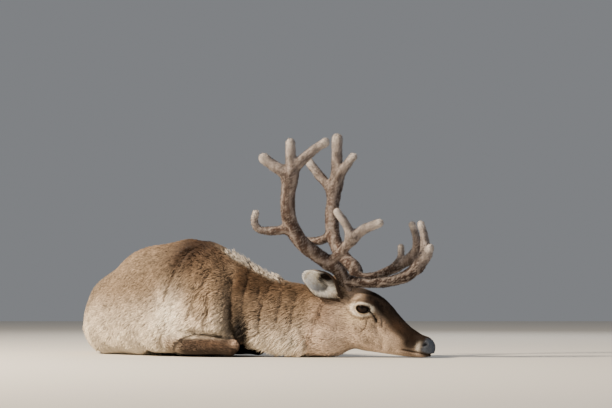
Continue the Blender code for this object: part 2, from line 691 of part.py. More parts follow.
def tail_locks(draw):
    """The long hair of the tail, in overlapping locks down to its end."""
    pieces = []
    for row, (up, back) in enumerate(((0.175, -0.880), (0.130, -0.904))):
        for turn in np.linspace(-80, 80, 4 - row) + 10 * (row % 2):
            angle = np.radians(turn)
            inner = bend(back, 0.004, up)
            out = unit(bend(back - 0.01 * np.cos(angle), 0.004 + 0.01 * np.sin(angle), up) - inner)
            root = on_skin(tail_field, inner, inner + out * 0.07)
            lie = unit(np.array([0.0, 0.0, -1.0]) + out * 0.12)
            pieces.append(lock(tail_field, root, out, lie, draw.uniform(0.055, 0.070), 0.024, 0.009, 0.008))
    return pieces


def lid_mound(side):
    """The swelling of both lids over the eyeball, longer along the face than it is tall."""
    return oval("lids", EYE * (1, side, 1), LID_RADII)


def lid_opening(side):
    """An almond-shaped bar that cuts the slit between the lids, flatter above than below."""
    turn = np.radians(np.arange(0, 360, 24))
    tilt = np.radians(10.0)
    flat = SLIT_HALF * np.cos(turn)
    rise = SLIT_RISE * np.sin(turn) * np.where(turn < np.pi, 0.85, 1.10)
    forward = EYE[0] + flat * np.cos(tilt) - rise * np.sin(tilt)
    up = EYE[2] + flat * np.sin(tilt) + rise * np.cos(tilt)
    depths = (EYE[1] - 0.002, 0.120)
    stations = [np.stack([forward, np.full_like(turn, side * depth), up], 1) for depth in depths]
    return rings("slit", from_head(np.array(stations)))


def mouth_cutter():
    """A thin wedge that follows the closed lips from one corner round the front to the other."""
    t = np.linspace(-1, 1, 19)
    angle = t * np.radians(104)
    up = -0.036 + 0.010 * np.cos(angle) - 0.004 * t ** 2
    centre = np.stack([np.full_like(t, 0.318) - 0.055 * t ** 4, np.zeros_like(t), up], 1)
    ray = np.stack([np.cos(angle), np.sin(angle), np.zeros_like(t)], 1)
    inner = from_head(centre)
    edge = on_skin(flesh, inner, from_head(centre + ray * 0.12))
    out = ray @ HEAD_AXES
    deep = (0.0065 * (1 - 0.8 * t ** 4))[:, None]
    tall = (0.0017 * (1 - 0.6 * t ** 4))[:, None] * HEAD_AXES[2]
    ring = [edge - out * deep, edge + out * 0.012 + tall * 2.2, edge + out * 0.012 - tall * 2.2]
    return rings("mouth", np.stack(ring, 1))


def unit_ball():
    """Points and triangles of a ball of radius one, with its poles on its second axis."""
    data = bmesh.new()
    bmesh.ops.create_uvsphere(data, u_segments=14, v_segments=9, radius=1.0)
    bmesh.ops.triangulate(data, faces=data.faces)
    points = np.array([vertex.co for vertex in data.verts])[:, [0, 2, 1]]
    faces = [tuple(vertex.index for vertex in face.verts) for face in data.faces]
    data.free()
    return points, faces


def oval(name, centre, radii):
    """An ellipsoid in the head's frame, with its poles to the left and right."""
    points, faces = unit_ball()
    return solid(name, from_head(np.asarray(centre) + points * radii), faces)


def nostril_cutter(side):
    """A slanting comma-shaped hollow at the side of the nose."""
    points, faces = unit_ball()
    inner = from_head((0.325, 0.0, -0.010))
    outer = from_head((0.352, side * 0.075, 0.010))
    edge = to_head(on_skin(flesh, inner, outer))
    slant = unit(np.array([0.80, -0.1 * side, 0.55]))
    out = unit(np.array([0.45, 0.85 * side, 0.10]))
    tall = 0.0042 + 0.0022 * points[:, :1]
    shape = points[:, :1] * slant * 0.0095 + points[:, 2:] * np.cross(slant, out) * tall
    return solid("nostril", from_head(edge + shape + points[:, 1:2] * out * 0.008), faces)


def eyeball(name, side, radius):
    """The eyeball, a little rounder at its outer pole, where the clear front of the eye stands out."""
    return oval(name, EYE * (1, side, 1), (radius, radius * 1.03, radius))


# The ears: root and tip forward, out and up from the poll, the way that the cup opens
EAR_ROOT = {1: (0.028, 0.074, 0.212), -1: (0.028, 0.074, 0.212)}
EAR_TIP = {1: (-0.066, 0.158, 0.295), -1: (-0.060, 0.160, 0.286)}
EAR_OPENS = {1: (0.30, 0.90, -0.25), -1: (0.30, 0.90, -0.25)}
EAR_HALF = 0.047
EAR_WALL = 0.0045


def ear(name, side):
    """A cupped leaf: a tube at its root that opens towards a round tip, with an even wall."""
    root = from_poll(np.array(EAR_ROOT[side]) * (1, side, 1))
    tip = from_poll(np.array(EAR_TIP[side]) * (1, side, 1))
    axis = unit(tip - root)
    opens = (np.array(EAR_OPENS[side]) * (1, side, 1)) @ LEVEL_AXES
    opens = unit(opens - axis * (opens @ axis))
    wide = np.cross(axis, opens)
    t = np.array([0.0, 0.15, 0.35, 0.55, 0.75, 0.9, 1.0])
    half = np.array([0.46, 0.72, 0.98, 0.98, 0.78, 0.50, 0.12]) * EAR_HALF
    sweep = np.radians(np.interp(t, [0, 0.2, 0.5, 0.8, 1.0], [168, 140, 98, 70, 55]))
    radius = half / np.sin(np.minimum(sweep, np.pi / 2))
    middle = root + (tip - root) * t[:, None] - opens * (0.010 * np.sin(np.pi * t))[:, None]
    angle = np.linspace(-1, 1, 7)[None, :] * sweep[:, None]
    outer = (middle[:, None] + wide * (radius[:, None] * np.sin(angle))[..., None]
             - opens * (radius[:, None] * (np.cos(angle) - np.cos(sweep)[:, None] * 0.6))[..., None])
    inward = -(wide * np.sin(angle)[..., None] - opens * np.cos(angle)[..., None])
    wall = EAR_WALL * np.interp(t, [0, 0.7, 1.0], [1.2, 1.0, 0.5])
    inner = outer + inward * wall[:, None, None] + axis * 0.0015
    loop = np.concatenate([outer, inner[:, ::-1]], 1)
    return rings(name, loop)


def claw(name, place, ahead, out, side):
    """One half of a cloven hoof: flat inside, round outside, curving in to a blunt tip."""
    ahead = unit(np.asarray(ahead, float))
    out = unit(np.asarray(out, float) - ahead * (np.asarray(out, float) @ ahead))
    up = np.cross(out, ahead)
    up = up if up[2] > 0 else -up
    t = np.array([0.0, 0.25, 0.5, 0.75, 0.92, 1.0])
    tall = np.array([0.019, 0.021, 0.019, 0.015, 0.010, 0.004])
    broad = CLAW_HALF * np.array([0.85, 1.0, 1.0, 0.85, 0.6, 0.25])
    turn = np.radians(np.linspace(-90, 90, 6))
    stations = []
    for station, place_along in enumerate(t):
        centre = np.asarray(place) + ahead * CLAW_LENGTH * place_along + out * side * 0.0008
        curl = out * side * (-0.004 * place_along ** 2 + 0.004)
        height = up * (np.sin(turn)[:, None] + 1) * tall[station]
        reach = out * side * np.cos(turn)[:, None] * broad[station] * 2
        stations.append(centre + curl + height + reach)
    made = rings(name, np.array(stations))
    for vertex in made.data.vertices:
        vertex.co.z = max(vertex.co.z, 0.0)
    return made


COLOURS = {
    "coat": (0.30, 0.23, 0.17, 0.85),
    "face": (0.34, 0.26, 0.20, 0.85),
    "velvet": (0.19, 0.13, 0.10, 0.90),
    "horn": (0.05, 0.04, 0.035, 0.45),
    "eye": (0.010, 0.007, 0.005, 0.08),
}


def finish(name):
    """A material with a colour in linear numbers and a roughness."""
    red, green, blue, roughness = COLOURS[name]
    material = bpy.data.materials.new(name)
    material.use_nodes = True
    shader = material.node_tree.nodes["Principled BSDF"]
    shader.inputs["Base Color"].default_value = (red, green, blue, 1.0)
    shader.inputs["Roughness"].default_value = roughness
    shader.inputs["Metallic"].default_value = 0.0
    return material


def coat_of(name):
    """Which of the finishes a piece has, by the first word of its name."""
    kinds = {"head": "face", "eye": "eye", "antler": "velvet"}
    return "horn" if "claw" in name else kinds.get(name.split("_")[0], "coat")


def build_body():
    """Trunk, neck and head as one surface, finest on the head."""
    values, low = sample(flesh, (-0.97, -0.36, -0.02), (0.53, 1.02, 0.50), BODY_STEP)
    points, faces = skin(values, low, BODY_STEP)
    body = make_object("body", points, faces)
    local = to_head(points)
    head_part = np.clip((local[:, 0] + 0.10) / 0.10, 0, 1)
    thin(body, BODY_FACES, 0.25 + 0.40 * head_part)
    return body


def closed(data):
    """Whether each edge has two faces, with the corners told apart by their places alone."""
    keys = {}
    corners = [tuple(round(value, 7) for value in vertex.co) for vertex in data.verts]
    places = [keys.setdefault(corner, len(keys)) for corner in corners]
    count = {}
    for edge in data.edges:
        ends = tuple(sorted(places[vertex.index] for vertex in edge.verts))
        count[ends] = count.get(ends, 0) + len(edge.link_faces)
    return all(value == 2 for value in count.values())


def clean(made):
    """Merge points that nearly meet and drop faces without area, where the mesh stays closed."""
    data = bmesh.new()
    data.from_mesh(made.data)
    bmesh.ops.triangulate(data, faces=data.faces)
    for reach in (5e-5, 1e-4, 2e-4, 4e-4, 8e-4, 1e-5):
        trial = data.copy()
        bmesh.ops.remove_doubles(trial, verts=trial.verts, dist=reach)
        bmesh.ops.dissolve_degenerate(trial, dist=reach, edges=trial.edges)
        bmesh.ops.triangulate(trial, faces=trial.faces)
        trial.verts.index_update()
        if trial.faces and closed(trial):
            trial.to_mesh(made.data)
            trial.free()
            break
        trial.free()
    data.free()
    return made


def largest(made, name):
    """Keep only the largest closed surface of an object."""
    points, faces, _ = loose_parts(made)[0]
    remove(made)
    return make_object(name, points, faces)


# Each part of an antler past the first: the branch that it is cut from, and whether at its far end
ANTLER_CUTS = {
    "crown_middle": ("beam", True), "crown_back": ("crown_back", False),
    "crown_front": ("crown_front", False),
    "back_tine": ("back_tine", False), "bez_tine": ("bez_tine", False), "brow_tine": ("brow_tine", False),
    "brow_palm": ("brow_tine", True),
}


def antler_pieces(body, side, word, branches):
    """One antler, fitted on the head and parted at its main forks."""
    routes = antler_routes(branches, side)
    ends = np.concatenate(list(routes.values()))[:, :3]
    values, low = sample(lambda places: antler_field(places, routes), ends.min(0) - 0.05, ends.max(0) + 0.05,
                         ANTLER_STEP)
    antler = thin(make_object("antler", *skin(values, low, ANTLER_STEP)), ANTLER_FACES)
    antler = largest(subtract(antler, *body), "antler")
    anchors = {"beam": routes["beam"][4, :3]}
    for name, (branch, far) in ANTLER_CUTS.items():
        if branch in routes:
            sever(antler, *clear_place(routes, branch, far))
            anchors[name] = routes[name if name in routes else branch][-1, :3]
    anchors["brow_tine"] = routes["brow_tine"][2, :3]
    anchors["brow_palm"] = routes["brow_top"][-1, :3]
    if "bez_tine" in routes:
        anchors["bez_tine"] = routes["bez_tine"][1, :3]
    return part_out(antler, {"antler_%s_%s" % (word, name): anchor for name, anchor in anchors.items()})


LEGS = [
    ("fore_right", FORE_LEG, FORE_FOOT),
    ("fore_left", [(a, -b, c, d) for a, b, c, d in FORE_LEG], [(a, -b, c, d) for a, b, c, d in FORE_FOOT]),
    ("hind_left", LEFT_HIND_LEG, LEFT_HIND_FOOT),
    ("hind_right", None, RIGHT_HIND_FOOT),
]


def leg_pieces(body, word, leg, foot):
    """One folded leg: its upper bone's length, its cannon, and the two claws of its hoof."""
    foot = limb_route(foot)
    routes = [foot] if leg is None else [limb_route(leg), foot]
    ends = np.concatenate(routes)
    ends = np.vstack([ends[:, :3] - 0.07, ends[:, :3] + 0.07])
    values, low = sample(lambda places: limb_field(places, routes), ends.min(0), ends.max(0), BODY_STEP)
    count = LEG_FACES * len(routes)
    limb = thin(make_object("limb", *skin(values, low, BODY_STEP)), count)
    subtract(limb, *body)
    limb = largest(limb, "leg_" + word)
    made_room = grown(limb)
    made = [limb]
    ahead = foot[-1, :3] - foot[-2, :3]
    ahead[2] = 0.0
    side = np.cross(unit(ahead), (0.0, 0.0, 1.0))
    for index, turn in enumerate((1, -1)):
        place = foot[-1, :3] * (1, 1, 0) + unit(ahead) * (foot[-1, 3] * 0.6)
        half = claw("claw", place, ahead, side, turn)
        subtract(half, made_room, *body)
        made.append(largest(half, "leg_%s_claw_%s" % (word, "ab"[index])))
    remove(made_room)
    return made


def tail_piece(body, draw):
    """The tail with its locks, fitted on the rump."""
    inner = bend(-0.890, 0.0, 0.160)
    values, low = sample(tail_field, inner - 0.12, inner + 0.14, BODY_STEP)
    tail = thin(make_object("tail", *skin(values, low, BODY_STEP)), 130)
    combine(tail, tail_locks(draw), "UNION")
    subtract(tail, *body)
    return largest(tail, "tail")


BODY_CUTS = [("trunk_hind", -0.46), ("trunk_middle", -0.12), ("chest", 0.215), ("neck_low", 0.40),
             ("neck_high", 0.60)]


def body_pieces(body):
    """Trunk, neck and head, parted by upright cuts across the line of the back."""
    anchors = {}
    for name, along in BODY_CUTS[:-1]:
        centre = bend(along, 0.0, 0.22)
        sever(body, centre, bend(along + 0.01, 0.0, 0.22) - centre, 0.40)
    centre = from_poll((-0.030, 0.0, 0.14))
    sever(body, centre, HEAD_AXES[0] * 0.75 + LEVEL_AXES[0] * 0.25, 0.24)
    for name, along in BODY_CUTS:
        anchors[name] = bend(along - 0.08, 0.0, 0.35)
    anchors["head"] = from_head((0.15, 0.0, 0.06))
    return part_out(body, anchors)


def main():
    for old in list(bpy.data.objects):
        bpy.data.objects.remove(old)
    draw = np.random.default_rng(7)
    body = build_body()
    sockets = [eyeball("socket", side, EYE_RADIUS + GAP) for side in (1, -1)]
    combine(body, [lid_mound(side) for side in (1, -1)], "UNION")
    slits = [lid_opening(side) for side in (1, -1)]
    nostrils = [nostril_cutter(side) for side in (1, -1)]
    combine(body, sockets + slits + nostrils + [mouth_cutter()], "DIFFERENCE")
    combine(body, nape_locks(draw) + throat_locks(draw), "UNION")
    body = largest(body, "body")
    wide = [grown(body), body]
    made = [eyeball("eye_" + word, side, EYE_RADIUS) for side, word in ((1, "right"), (-1, "left"))]
    for side, word in ((1, "right"), (-1, "left")):
        made.append(largest(subtract(ear("ear", side), *wide), "ear_" + word))
    for side, word, branches in ((1, "right", RIGHT_ANTLER), (-1, "left", LEFT_ANTLER)):
        made += antler_pieces(wide, side, word, branches)
    for word, leg, foot in LEGS:
        made += leg_pieces(wide, word, leg, foot)
    made.append(tail_piece(wide, draw))
    remove(wide[0])
    made += body_pieces(body)
    materials = {name: finish(name) for name in COLOURS}
    for piece in made:
        clean(piece)
        piece.data.materials.append(materials[coat_of(piece.name)])
        for vertex in piece.data.vertices:
            vertex.co -= Vector(PLACE)


if __name__ == "__main__":
    main()
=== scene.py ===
# %% [markdown]
# # A reindeer bull asleep in its summer coat
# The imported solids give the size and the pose. This lesson grows a finer skin from the same
# soft forms, lays a coat of many small solid tufts over it and dresses eyes, ears and antlers.
# All lengths are metres, +Z is up and the animal lies on z = 0.

import bpy
import numpy as np
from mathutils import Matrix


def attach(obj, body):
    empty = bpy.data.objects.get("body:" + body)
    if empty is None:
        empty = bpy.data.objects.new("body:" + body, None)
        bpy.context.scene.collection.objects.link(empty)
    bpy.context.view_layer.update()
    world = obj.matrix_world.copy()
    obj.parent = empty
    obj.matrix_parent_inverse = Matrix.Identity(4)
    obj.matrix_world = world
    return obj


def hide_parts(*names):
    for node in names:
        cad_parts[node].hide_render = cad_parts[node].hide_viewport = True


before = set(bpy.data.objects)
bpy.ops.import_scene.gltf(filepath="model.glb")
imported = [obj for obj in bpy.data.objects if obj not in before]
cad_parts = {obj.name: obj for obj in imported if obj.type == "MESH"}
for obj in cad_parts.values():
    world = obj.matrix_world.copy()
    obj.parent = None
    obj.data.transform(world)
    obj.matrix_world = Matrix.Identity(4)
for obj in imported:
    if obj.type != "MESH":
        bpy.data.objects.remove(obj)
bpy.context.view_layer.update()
draw = np.random.default_rng(11)
print("nodes", len(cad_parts))

# %% [markdown]
# ## The line of the back
# Trunk and neck follow one curve seen from above. Its heading is given at a few places, and the
# curve is the running sum of short steps. Any point then has a distance along it, a distance to
# its right and a height.

# %% Line of the back
WITHERS = np.array([-0.1953, -0.2240])
TURN_AT = [-1.00, -0.60, -0.30, 0.00, 0.20, 0.35, 0.80]
TURN = [88.0, 82.0, 68.0, 44.0, 26.0, 17.0, 17.0]
LINE_STEP = 0.005
LINE_AT = np.arange(-1.00, 0.80, LINE_STEP)


def line_of_back():
    """place(s) = withers + integral of (cos h, -sin h) ds, with the heading h smoothed over 0.1 m."""
    heading = np.radians(np.interp(LINE_AT, TURN_AT, TURN))
    heading = np.convolve(np.pad(heading, 10, mode="edge"), np.ones(21) / 21, mode="valid")
    ahead = np.stack([np.cos(heading), -np.sin(heading)], 1)
    places = np.cumsum(ahead * LINE_STEP, axis=0)
    return places + WITHERS - places[np.argmin(abs(LINE_AT))], ahead


LINE, AHEAD = line_of_back()


def straighten(x, y):
    """World x and y to the distance along the back and the distance to its right."""
    points = np.stack([np.ravel(x), np.ravel(y)], 1)
    along = np.empty(len(points))
    aside = np.empty(len(points))
    for start in range(0, len(points), 20000):
        part = points[start:start + 20000]
        span = ((part[:, None, :] - LINE[None, ::8, :]) ** 2).sum(2)
        near = np.argmin(span, 1) * 8
        for _ in range(2):
            ahead = ((part - LINE[near]) * AHEAD[near]).sum(1)
            near = np.clip(near + np.round(ahead / LINE_STEP).astype(int), 0, len(LINE) - 1)
        offset = part - LINE[near]
        along[start:start + 20000] = LINE_AT[near] + (offset * AHEAD[near]).sum(1)
        aside[start:start + 20000] = offset[:, 0] * AHEAD[near, 1] - offset[:, 1] * AHEAD[near, 0]
    return along.reshape(np.shape(x)), aside.reshape(np.shape(x))


def bend(along, aside, up):
    """The world place of a point given along the back, to its right and up."""
    along, aside, up = np.broadcast_arrays(np.asarray(along, float), aside, up)
    x, y = (np.interp(along, LINE_AT, LINE[:, axis]) for axis in (0, 1))
    dx, dy = (np.interp(along, LINE_AT, AHEAD[:, axis]) for axis in (0, 1))
    return np.stack([x + aside * dy, y - aside * dx, up], -1)


print("line of the back", LINE[0].round(3), "to", LINE[-1].round(3))

# %% [markdown]
# ## The head's own frame
# The head is straight, so it has three axes of its own: forward along the face, right, and up
# from the face. Its origin is behind the brow.

# %% Head frame
POLL = np.array([0.3167, -0.4240, 0.0])
HEAD_TURN = np.radians(20.0)
FACE_SLOPE = np.radians(20.0)
LEVEL_AXES = np.array([[np.cos(HEAD_TURN), -np.sin(HEAD_TURN), 0.0], [-np.sin(HEAD_TURN), -np.cos(HEAD_TURN), 0.0],
                       [0.0, 0.0, 1.0]])
HEAD_AXES = np.array([LEVEL_AXES[0] * np.cos(FACE_SLOPE) - LEVEL_AXES[2] * np.sin(FACE_SLOPE), LEVEL_AXES[1],
                      LEVEL_AXES[0] * np.sin(FACE_SLOPE) + LEVEL_AXES[2] * np.cos(FACE_SLOPE)])
HEAD_ORIGIN = POLL + 0.02 * LEVEL_AXES[0] + 0.16 * LEVEL_AXES[2]
EYE = np.array([0.087, 0.0655, 0.049])
EYE_RADIUS = 0.0235


def to_head(points):
    return (points - HEAD_ORIGIN) @ HEAD_AXES.T


def from_head(points):
    return HEAD_ORIGIN + np.asarray(points, float) @ HEAD_AXES


def from_poll(points):
    """Points given forward of the poll, to the right and up from the ground, all level."""
    return POLL + np.asarray(points, float) @ LEVEL_AXES


print("eye at", from_head(EYE).round(3))

# %% [markdown]
# ## Soft forms
# Each form is a distance, negative inside. `blend` is the smooth minimum
# $b + (a-b)t - wt(1-t)$ with $t = \tfrac12 + \tfrac{b-a}{2w}$ held between 0 and 1.

# %% Distance helpers
def curve(at, knots, values):
    """A smooth line through the values at the knots: cubic pieces with shared slopes."""
    knots, values = np.asarray(knots, float), np.asarray(values, float)
    at = np.clip(at, knots[0], knots[-1])
    left = np.clip(np.searchsorted(knots, at, side="right") - 1, 0, len(knots) - 2)
    width = np.diff(knots)
    rise = np.diff(values) / width
    inner = (rise[1:] * width[:-1] + rise[:-1] * width[1:]) / (width[1:] + width[:-1])
    slope = np.concatenate([rise[:1], inner, rise[-1:]])
    t = (at - knots[left]) / width[left]
    low = (2 * t ** 3 - 3 * t ** 2 + 1) * values[left] + (t ** 3 - 2 * t ** 2 + t) * width[left] * slope[left]
    return low + (3 * t ** 2 - 2 * t ** 3) * values[left + 1] + (t ** 3 - t ** 2) * width[left] * slope[left + 1]


def blend(a, b, width):
    """The nearer of two distances, with the corner between them rounded over a width."""
    t = np.clip(0.5 + 0.5 * (b - a) / width, 0, 1)
    return b + (a - b) * t - width * t * (1 - t)


def ball(points, centre, radii):
    """About the distance to an ellipsoid: s(s - 1) / |grad|, with s the scaled length."""
    scaled = (points - np.asarray(centre)) / radii
    size = np.sqrt((scaled ** 2).sum(-1))
    return size * (size - 1) / np.maximum(np.sqrt(((scaled / radii) ** 2).sum(-1)), 1e-9)


def round_cone(points, start, end, start_radius, end_radius):
    """The distance to a straight round bar whose radius runs evenly from one end to the other."""
    start = np.asarray(start, float)
    span = np.asarray(end, float) - start
    t = np.clip(((points - start) @ span) / (span @ span), 0, 1)
    gap = np.linalg.norm(points - start - t[..., None] * span, axis=-1)
    return gap - start_radius - (end_radius - start_radius) * t


def soft(value, low, high):
    """A smooth step: 3t^2 - 2t^3 with t = (value - low) / (high - low) held between 0 and 1."""
    t = np.clip((value - low) / (high - low), 0, 1)
    return t * t * (3 - 2 * t)


def unit(vectors):
    return vectors / np.maximum(np.linalg.norm(vectors, axis=-1, keepdims=True), 1e-12)


WAVES = draw.normal(size=(3, 14, 3))
PHASES = draw.uniform(0, 2 * np.pi, size=(3, 14))


def ripple(points, size, kind=0):
    """Smooth noise near -1 to 1: the mean of fourteen sine waves with random directions."""
    return np.sin(points @ WAVES[kind].T * (2.2 / size) + PHASES[kind]).sum(-1) / 3.7


# %% [markdown]
# ## Trunk and neck
# Sections stand across the line of the back. Each is a ring
# $|a/w|^{2.1} + |r|^{2.1} = 1$ that narrows upward, with soft masses over shoulder and haunch.
# Folds of skin are valleys $d\,e^{-q^2}$ along short lines on the flank, with a swelling beside.

# %% Trunk and neck
SECTION_AT = [-0.86, -0.80, -0.72, -0.60, -0.45, -0.30, -0.15, 0.00, 0.10, 0.20, 0.30, 0.41, 0.50, 0.59]
SECTION_TOP = [0.170, 0.224, 0.286, 0.350, 0.394, 0.408, 0.418, 0.430, 0.410, 0.354, 0.302, 0.270, 0.255, 0.238]
SECTION_BOTTOM = [0.060, 0.020, 0, -0.020, -0.030, -0.030, -0.030, -0.015, 0.005, 0.030, 0.018, -0.005, -0.005, 0.005]
SECTION_HALF = [0.062, 0.118, 0.160, 0.195, 0.208, 0.210, 0.198, 0.168, 0.150, 0.130, 0.108, 0.092, 0.080, 0.060]
SECTION_TAPER = [0.34, 0.38, 0.42, 0.42, 0.36, 0.30, 0.30, 0.34, 0.32, 0.24, 0.20, 0.20, 0.24, 0.20]

# Folds on the flank: places along the back and up, then the depth and the half width
FOLDS = [
    ([(0.056, 0.373), (0.043, 0.318), (0.015, 0.265)], 0.006, 0.011),
    ([(0.137, 0.293), (0.122, 0.239), (0.107, 0.193)], 0.006, 0.011),
    ([(0.150, 0.239), (0.158, 0.150)], 0.005, 0.010),
    ([(0.206, 0.270), (0.218, 0.186), (0.221, 0.100)], 0.012, 0.018),
    ([(0.309, 0.250), (0.321, 0.097)], 0.005, 0.009),
    ([(0.342, 0.262), (0.329, 0.204), (0.313, 0.133)], 0.006, 0.009),
    ([(0.392, 0.245), (0.377, 0.130)], 0.004, 0.009),
    ([(0.262, 0.285), (0.262, 0.150)], 0.004, 0.010),
    ([(0.440, 0.225), (0.425, 0.120)], 0.003, 0.008),
    ([(-0.005, 0.042), (0.035, 0.160), (0.061, 0.204)], 0.005, 0.012),
    ([(0.030, 0.020), (0.070, 0.072), (0.117, 0.092), (0.185, 0.080)], 0.008, 0.012),
    ([(-0.300, 0.230), (-0.285, 0.140), (-0.260, 0.070)], 0.004, 0.016),
    ([(-0.120, 0.300), (-0.125, 0.180)], 0.002, 0.014),
    ([(-0.200, 0.330), (-0.205, 0.220)], 0.002, 0.014),
]


def to_line(x, z, knots):
    """The distance from (x, z) to a bent line, as the nearest of its straight pieces."""
    nearest = np.full(np.shape(x), 9.0)
    for (x0, z0), (x1, z1) in zip(knots[:-1], knots[1:]):
        t = np.clip(((x - x0) * (x1 - x0) + (z - z0) * (z1 - z0)) / ((x1 - x0) ** 2 + (z1 - z0) ** 2), 0, 1)
        nearest = np.minimum(nearest, np.hypot(x - x0 - t * (x1 - x0), z - z0 - t * (z1 - z0)))
    return nearest


def valley(distance, depth, half):
    """d (exp(-q^2) - 0.4 exp(-(q - 2)^2)), q = distance / half: a groove with a swelling beside it."""
    q = distance / half
    return depth * (np.exp(-q ** 2) - 0.4 * np.exp(-(q - 2) ** 2))


def trunk_and_neck(points, along, aside):
    """Sections along the back, the hollow under the breast, the masses over the limbs and the folds."""
    up = points[..., 2]
    top, bottom, half, taper = (curve(along, SECTION_AT, values)
                                for values in (SECTION_TOP, SECTION_BOTTOM, SECTION_HALF, SECTION_TAPER))
    middle = bottom + 0.33 * (top - bottom)
    height = np.where(up > middle, top - middle, middle - bottom)
    rise = (up - middle) / height
    waist = half * (1 - taper * np.clip(rise, 0, 1.2))
    ring = (np.abs(aside / waist) ** 2.1 + np.abs(rise) ** 2.1 + 1e-12) ** (1 / 2.1)
    field = (ring - 1) * np.minimum(half, height)
    field = -blend(-field, -np.maximum(SECTION_AT[0] - along, along - SECTION_AT[-1]), 0.06)
    both = np.stack([along, np.abs(aside), up], -1)
    hollow = round_cone(both * (1.0, 0.42, 1.0), (-0.11, 0.0, 0.0), (0.23, 0.0, 0.0), 0.052, 0.052)
    field = -blend(-field, hollow, 0.02)
    field = blend(field, ball(both, (-0.58, 0.100, 0.145), (0.20, 0.105, 0.150)), 0.07)
    field = blend(field, ball(both, (-0.40, 0.150, 0.10), (0.11, 0.065, 0.10)), 0.06)
    field = blend(field, ball(both, (0.03, 0.088, 0.21), (0.12, 0.070, 0.165)), 0.08)
    field = blend(field, ball(both, (0.12, 0.105, 0.14), (0.085, 0.055, 0.095)), 0.05)
    field = blend(field, ball(both, (-0.04, 0.135, 0.085), (0.10, 0.050, 0.070)), 0.05)
    flank = soft(np.abs(aside), 0.02, 0.07)
    for knots, depth, half_width in FOLDS:
        field = field + flank * valley(to_line(along, up, knots), depth, half_width)
    return field


# %% [markdown]
# ## The head
# Sections along the face line, rims over the eyes, cheeks and muzzle. Mouth, nostrils, the gland
# before the eye and the short wrinkles under it are valleys in the same distance.

# %% Head
HEAD_AT = [-0.07, -0.03, 0.00, 0.04, 0.08, 0.12, 0.16, 0.20, 0.25, 0.30, 0.335, 0.362]
FACE_UP = [0.068, 0.090, 0.100, 0.106, 0.106, 0.101, 0.086, 0.064, 0.041, 0.028, 0.016, -0.002]
JAW_DOWN = [-0.095, -0.115, -0.120, -0.120, -0.110, -0.105, -0.096, -0.087, -0.075, -0.061, -0.047, -0.034]
HEAD_HALF = [0.052, 0.060, 0.064, 0.066, 0.066, 0.060, 0.052, 0.046, 0.041, 0.039, 0.038, 0.032]
MOUTH = [(0.262, -0.044), (0.300, -0.038), (0.335, -0.031), (0.385, -0.024)]
GLAND = [(0.114, 0.049), (0.129, 0.039), (0.147, 0.021)]
WRINKLES = [[(0.107, 0.021), (0.106, 0.011)], [(0.118, 0.011), (0.122, -0.012), (0.113, -0.030)],
            [(0.162, 0.032), (0.172, 0.006)]]


def head(local):
    """Head sections in the head's own frame, with the details of the face."""
    forward, aside, up = local[..., 0], np.abs(local[..., 1]), local[..., 2]
    top, bottom, half = (curve(forward, HEAD_AT, values) for values in (FACE_UP, JAW_DOWN, HEAD_HALF))
    height = (top - bottom) / 2
    rise = (up - (top + bottom) / 2) / height
    waist = half * (1 - 0.16 * np.clip(-rise, 0, 1.2) ** 2 - 0.04 * np.clip(rise, 0, 1))
    ring = ((aside / waist) ** 2.3 + np.abs(rise) ** 2.3 + 1e-12) ** (1 / 2.3)
    field = (ring - 1) * np.minimum(half, height)
    field = -blend(-field, -np.maximum(-0.075 - forward, forward - 0.358), 0.035)
    both = np.stack([forward, aside, up], -1)
    field = blend(field, ball(both, (0.088, 0.050, 0.050), (0.042, 0.026, 0.033)), 0.03)
    field = blend(field, ball(both, (0.070, 0.038, -0.030), (0.075, 0.032, 0.055)), 0.03)
    field = blend(field, ball(both, (0.325, 0.020, -0.010), (0.036, 0.024, 0.034)), 0.02)
    field = blend(field, round_cone(both, (0.0, 0.038, 0.060), (-0.012, 0.046, 0.076), 0.026, 0.023), 0.02)
    return field


def face_details(local):
    """What is added to the distance for the mouth, the gland, the wrinkles and the cheek's edge."""
    forward, aside, up = local[..., 0], np.abs(local[..., 1]), local[..., 2]
    side = soft(aside, 0.015, 0.030)
    added = valley(to_line(forward, up, MOUTH), 0.0050, 0.0036) * soft(forward, 0.250, 0.275)
    added = added + side * valley(to_line(forward, up, GLAND), 0.0045, 0.0048)
    for knots in WRINKLES:
        added = added + side * valley(to_line(forward, up, knots), 0.0022, 0.0036)
    added = added + side * valley(to_line(forward, up, [(0.150, 0.000), (0.185, -0.030), (0.190, -0.060)]), 0.003, 0.010)
    return added + side * valley(to_line(forward, up, [(0.130, 0.066), (0.170, 0.044), (0.260, 0.006)]), 0.002, 0.008)


# %% [markdown]
# ## Legs and tail
# Each leg is a chain of round bars. The fore legs fold under the breast with the knees forward,
# and both hind feet come out on the animal's left.

# %% Legs and tail
FORE_LEG = [(0.015, 0.132, 0.068, 0.044), (0.060, 0.142, 0.050, 0.042), (0.130, 0.134, 0.041, 0.035),
            (0.190, 0.120, 0.037, 0.031), (0.215, 0.112, 0.035, 0.033)]
FORE_FOOT = [(0.210, 0.104, 0.030, 0.026), (0.140, 0.080, 0.022, 0.019), (0.060, 0.068, 0.021, 0.018),
             (0.020, 0.066, 0.024, 0.022), (-0.025, 0.066, 0.020, 0.018)]
LEFT_HIND_LEG = [(-0.400, -0.175, 0.120, 0.060), (-0.560, -0.200, 0.080, 0.045), (-0.655, -0.212, 0.052, 0.032),
                 (-0.685, -0.214, 0.045, 0.030)]
LEFT_HIND_FOOT = [(-0.680, -0.218, 0.034, 0.028), (-0.600, -0.240, 0.020, 0.021), (-0.470, -0.262, 0.018, 0.019),
                  (-0.430, -0.266, 0.022, 0.023), (-0.385, -0.268, 0.018, 0.018)]
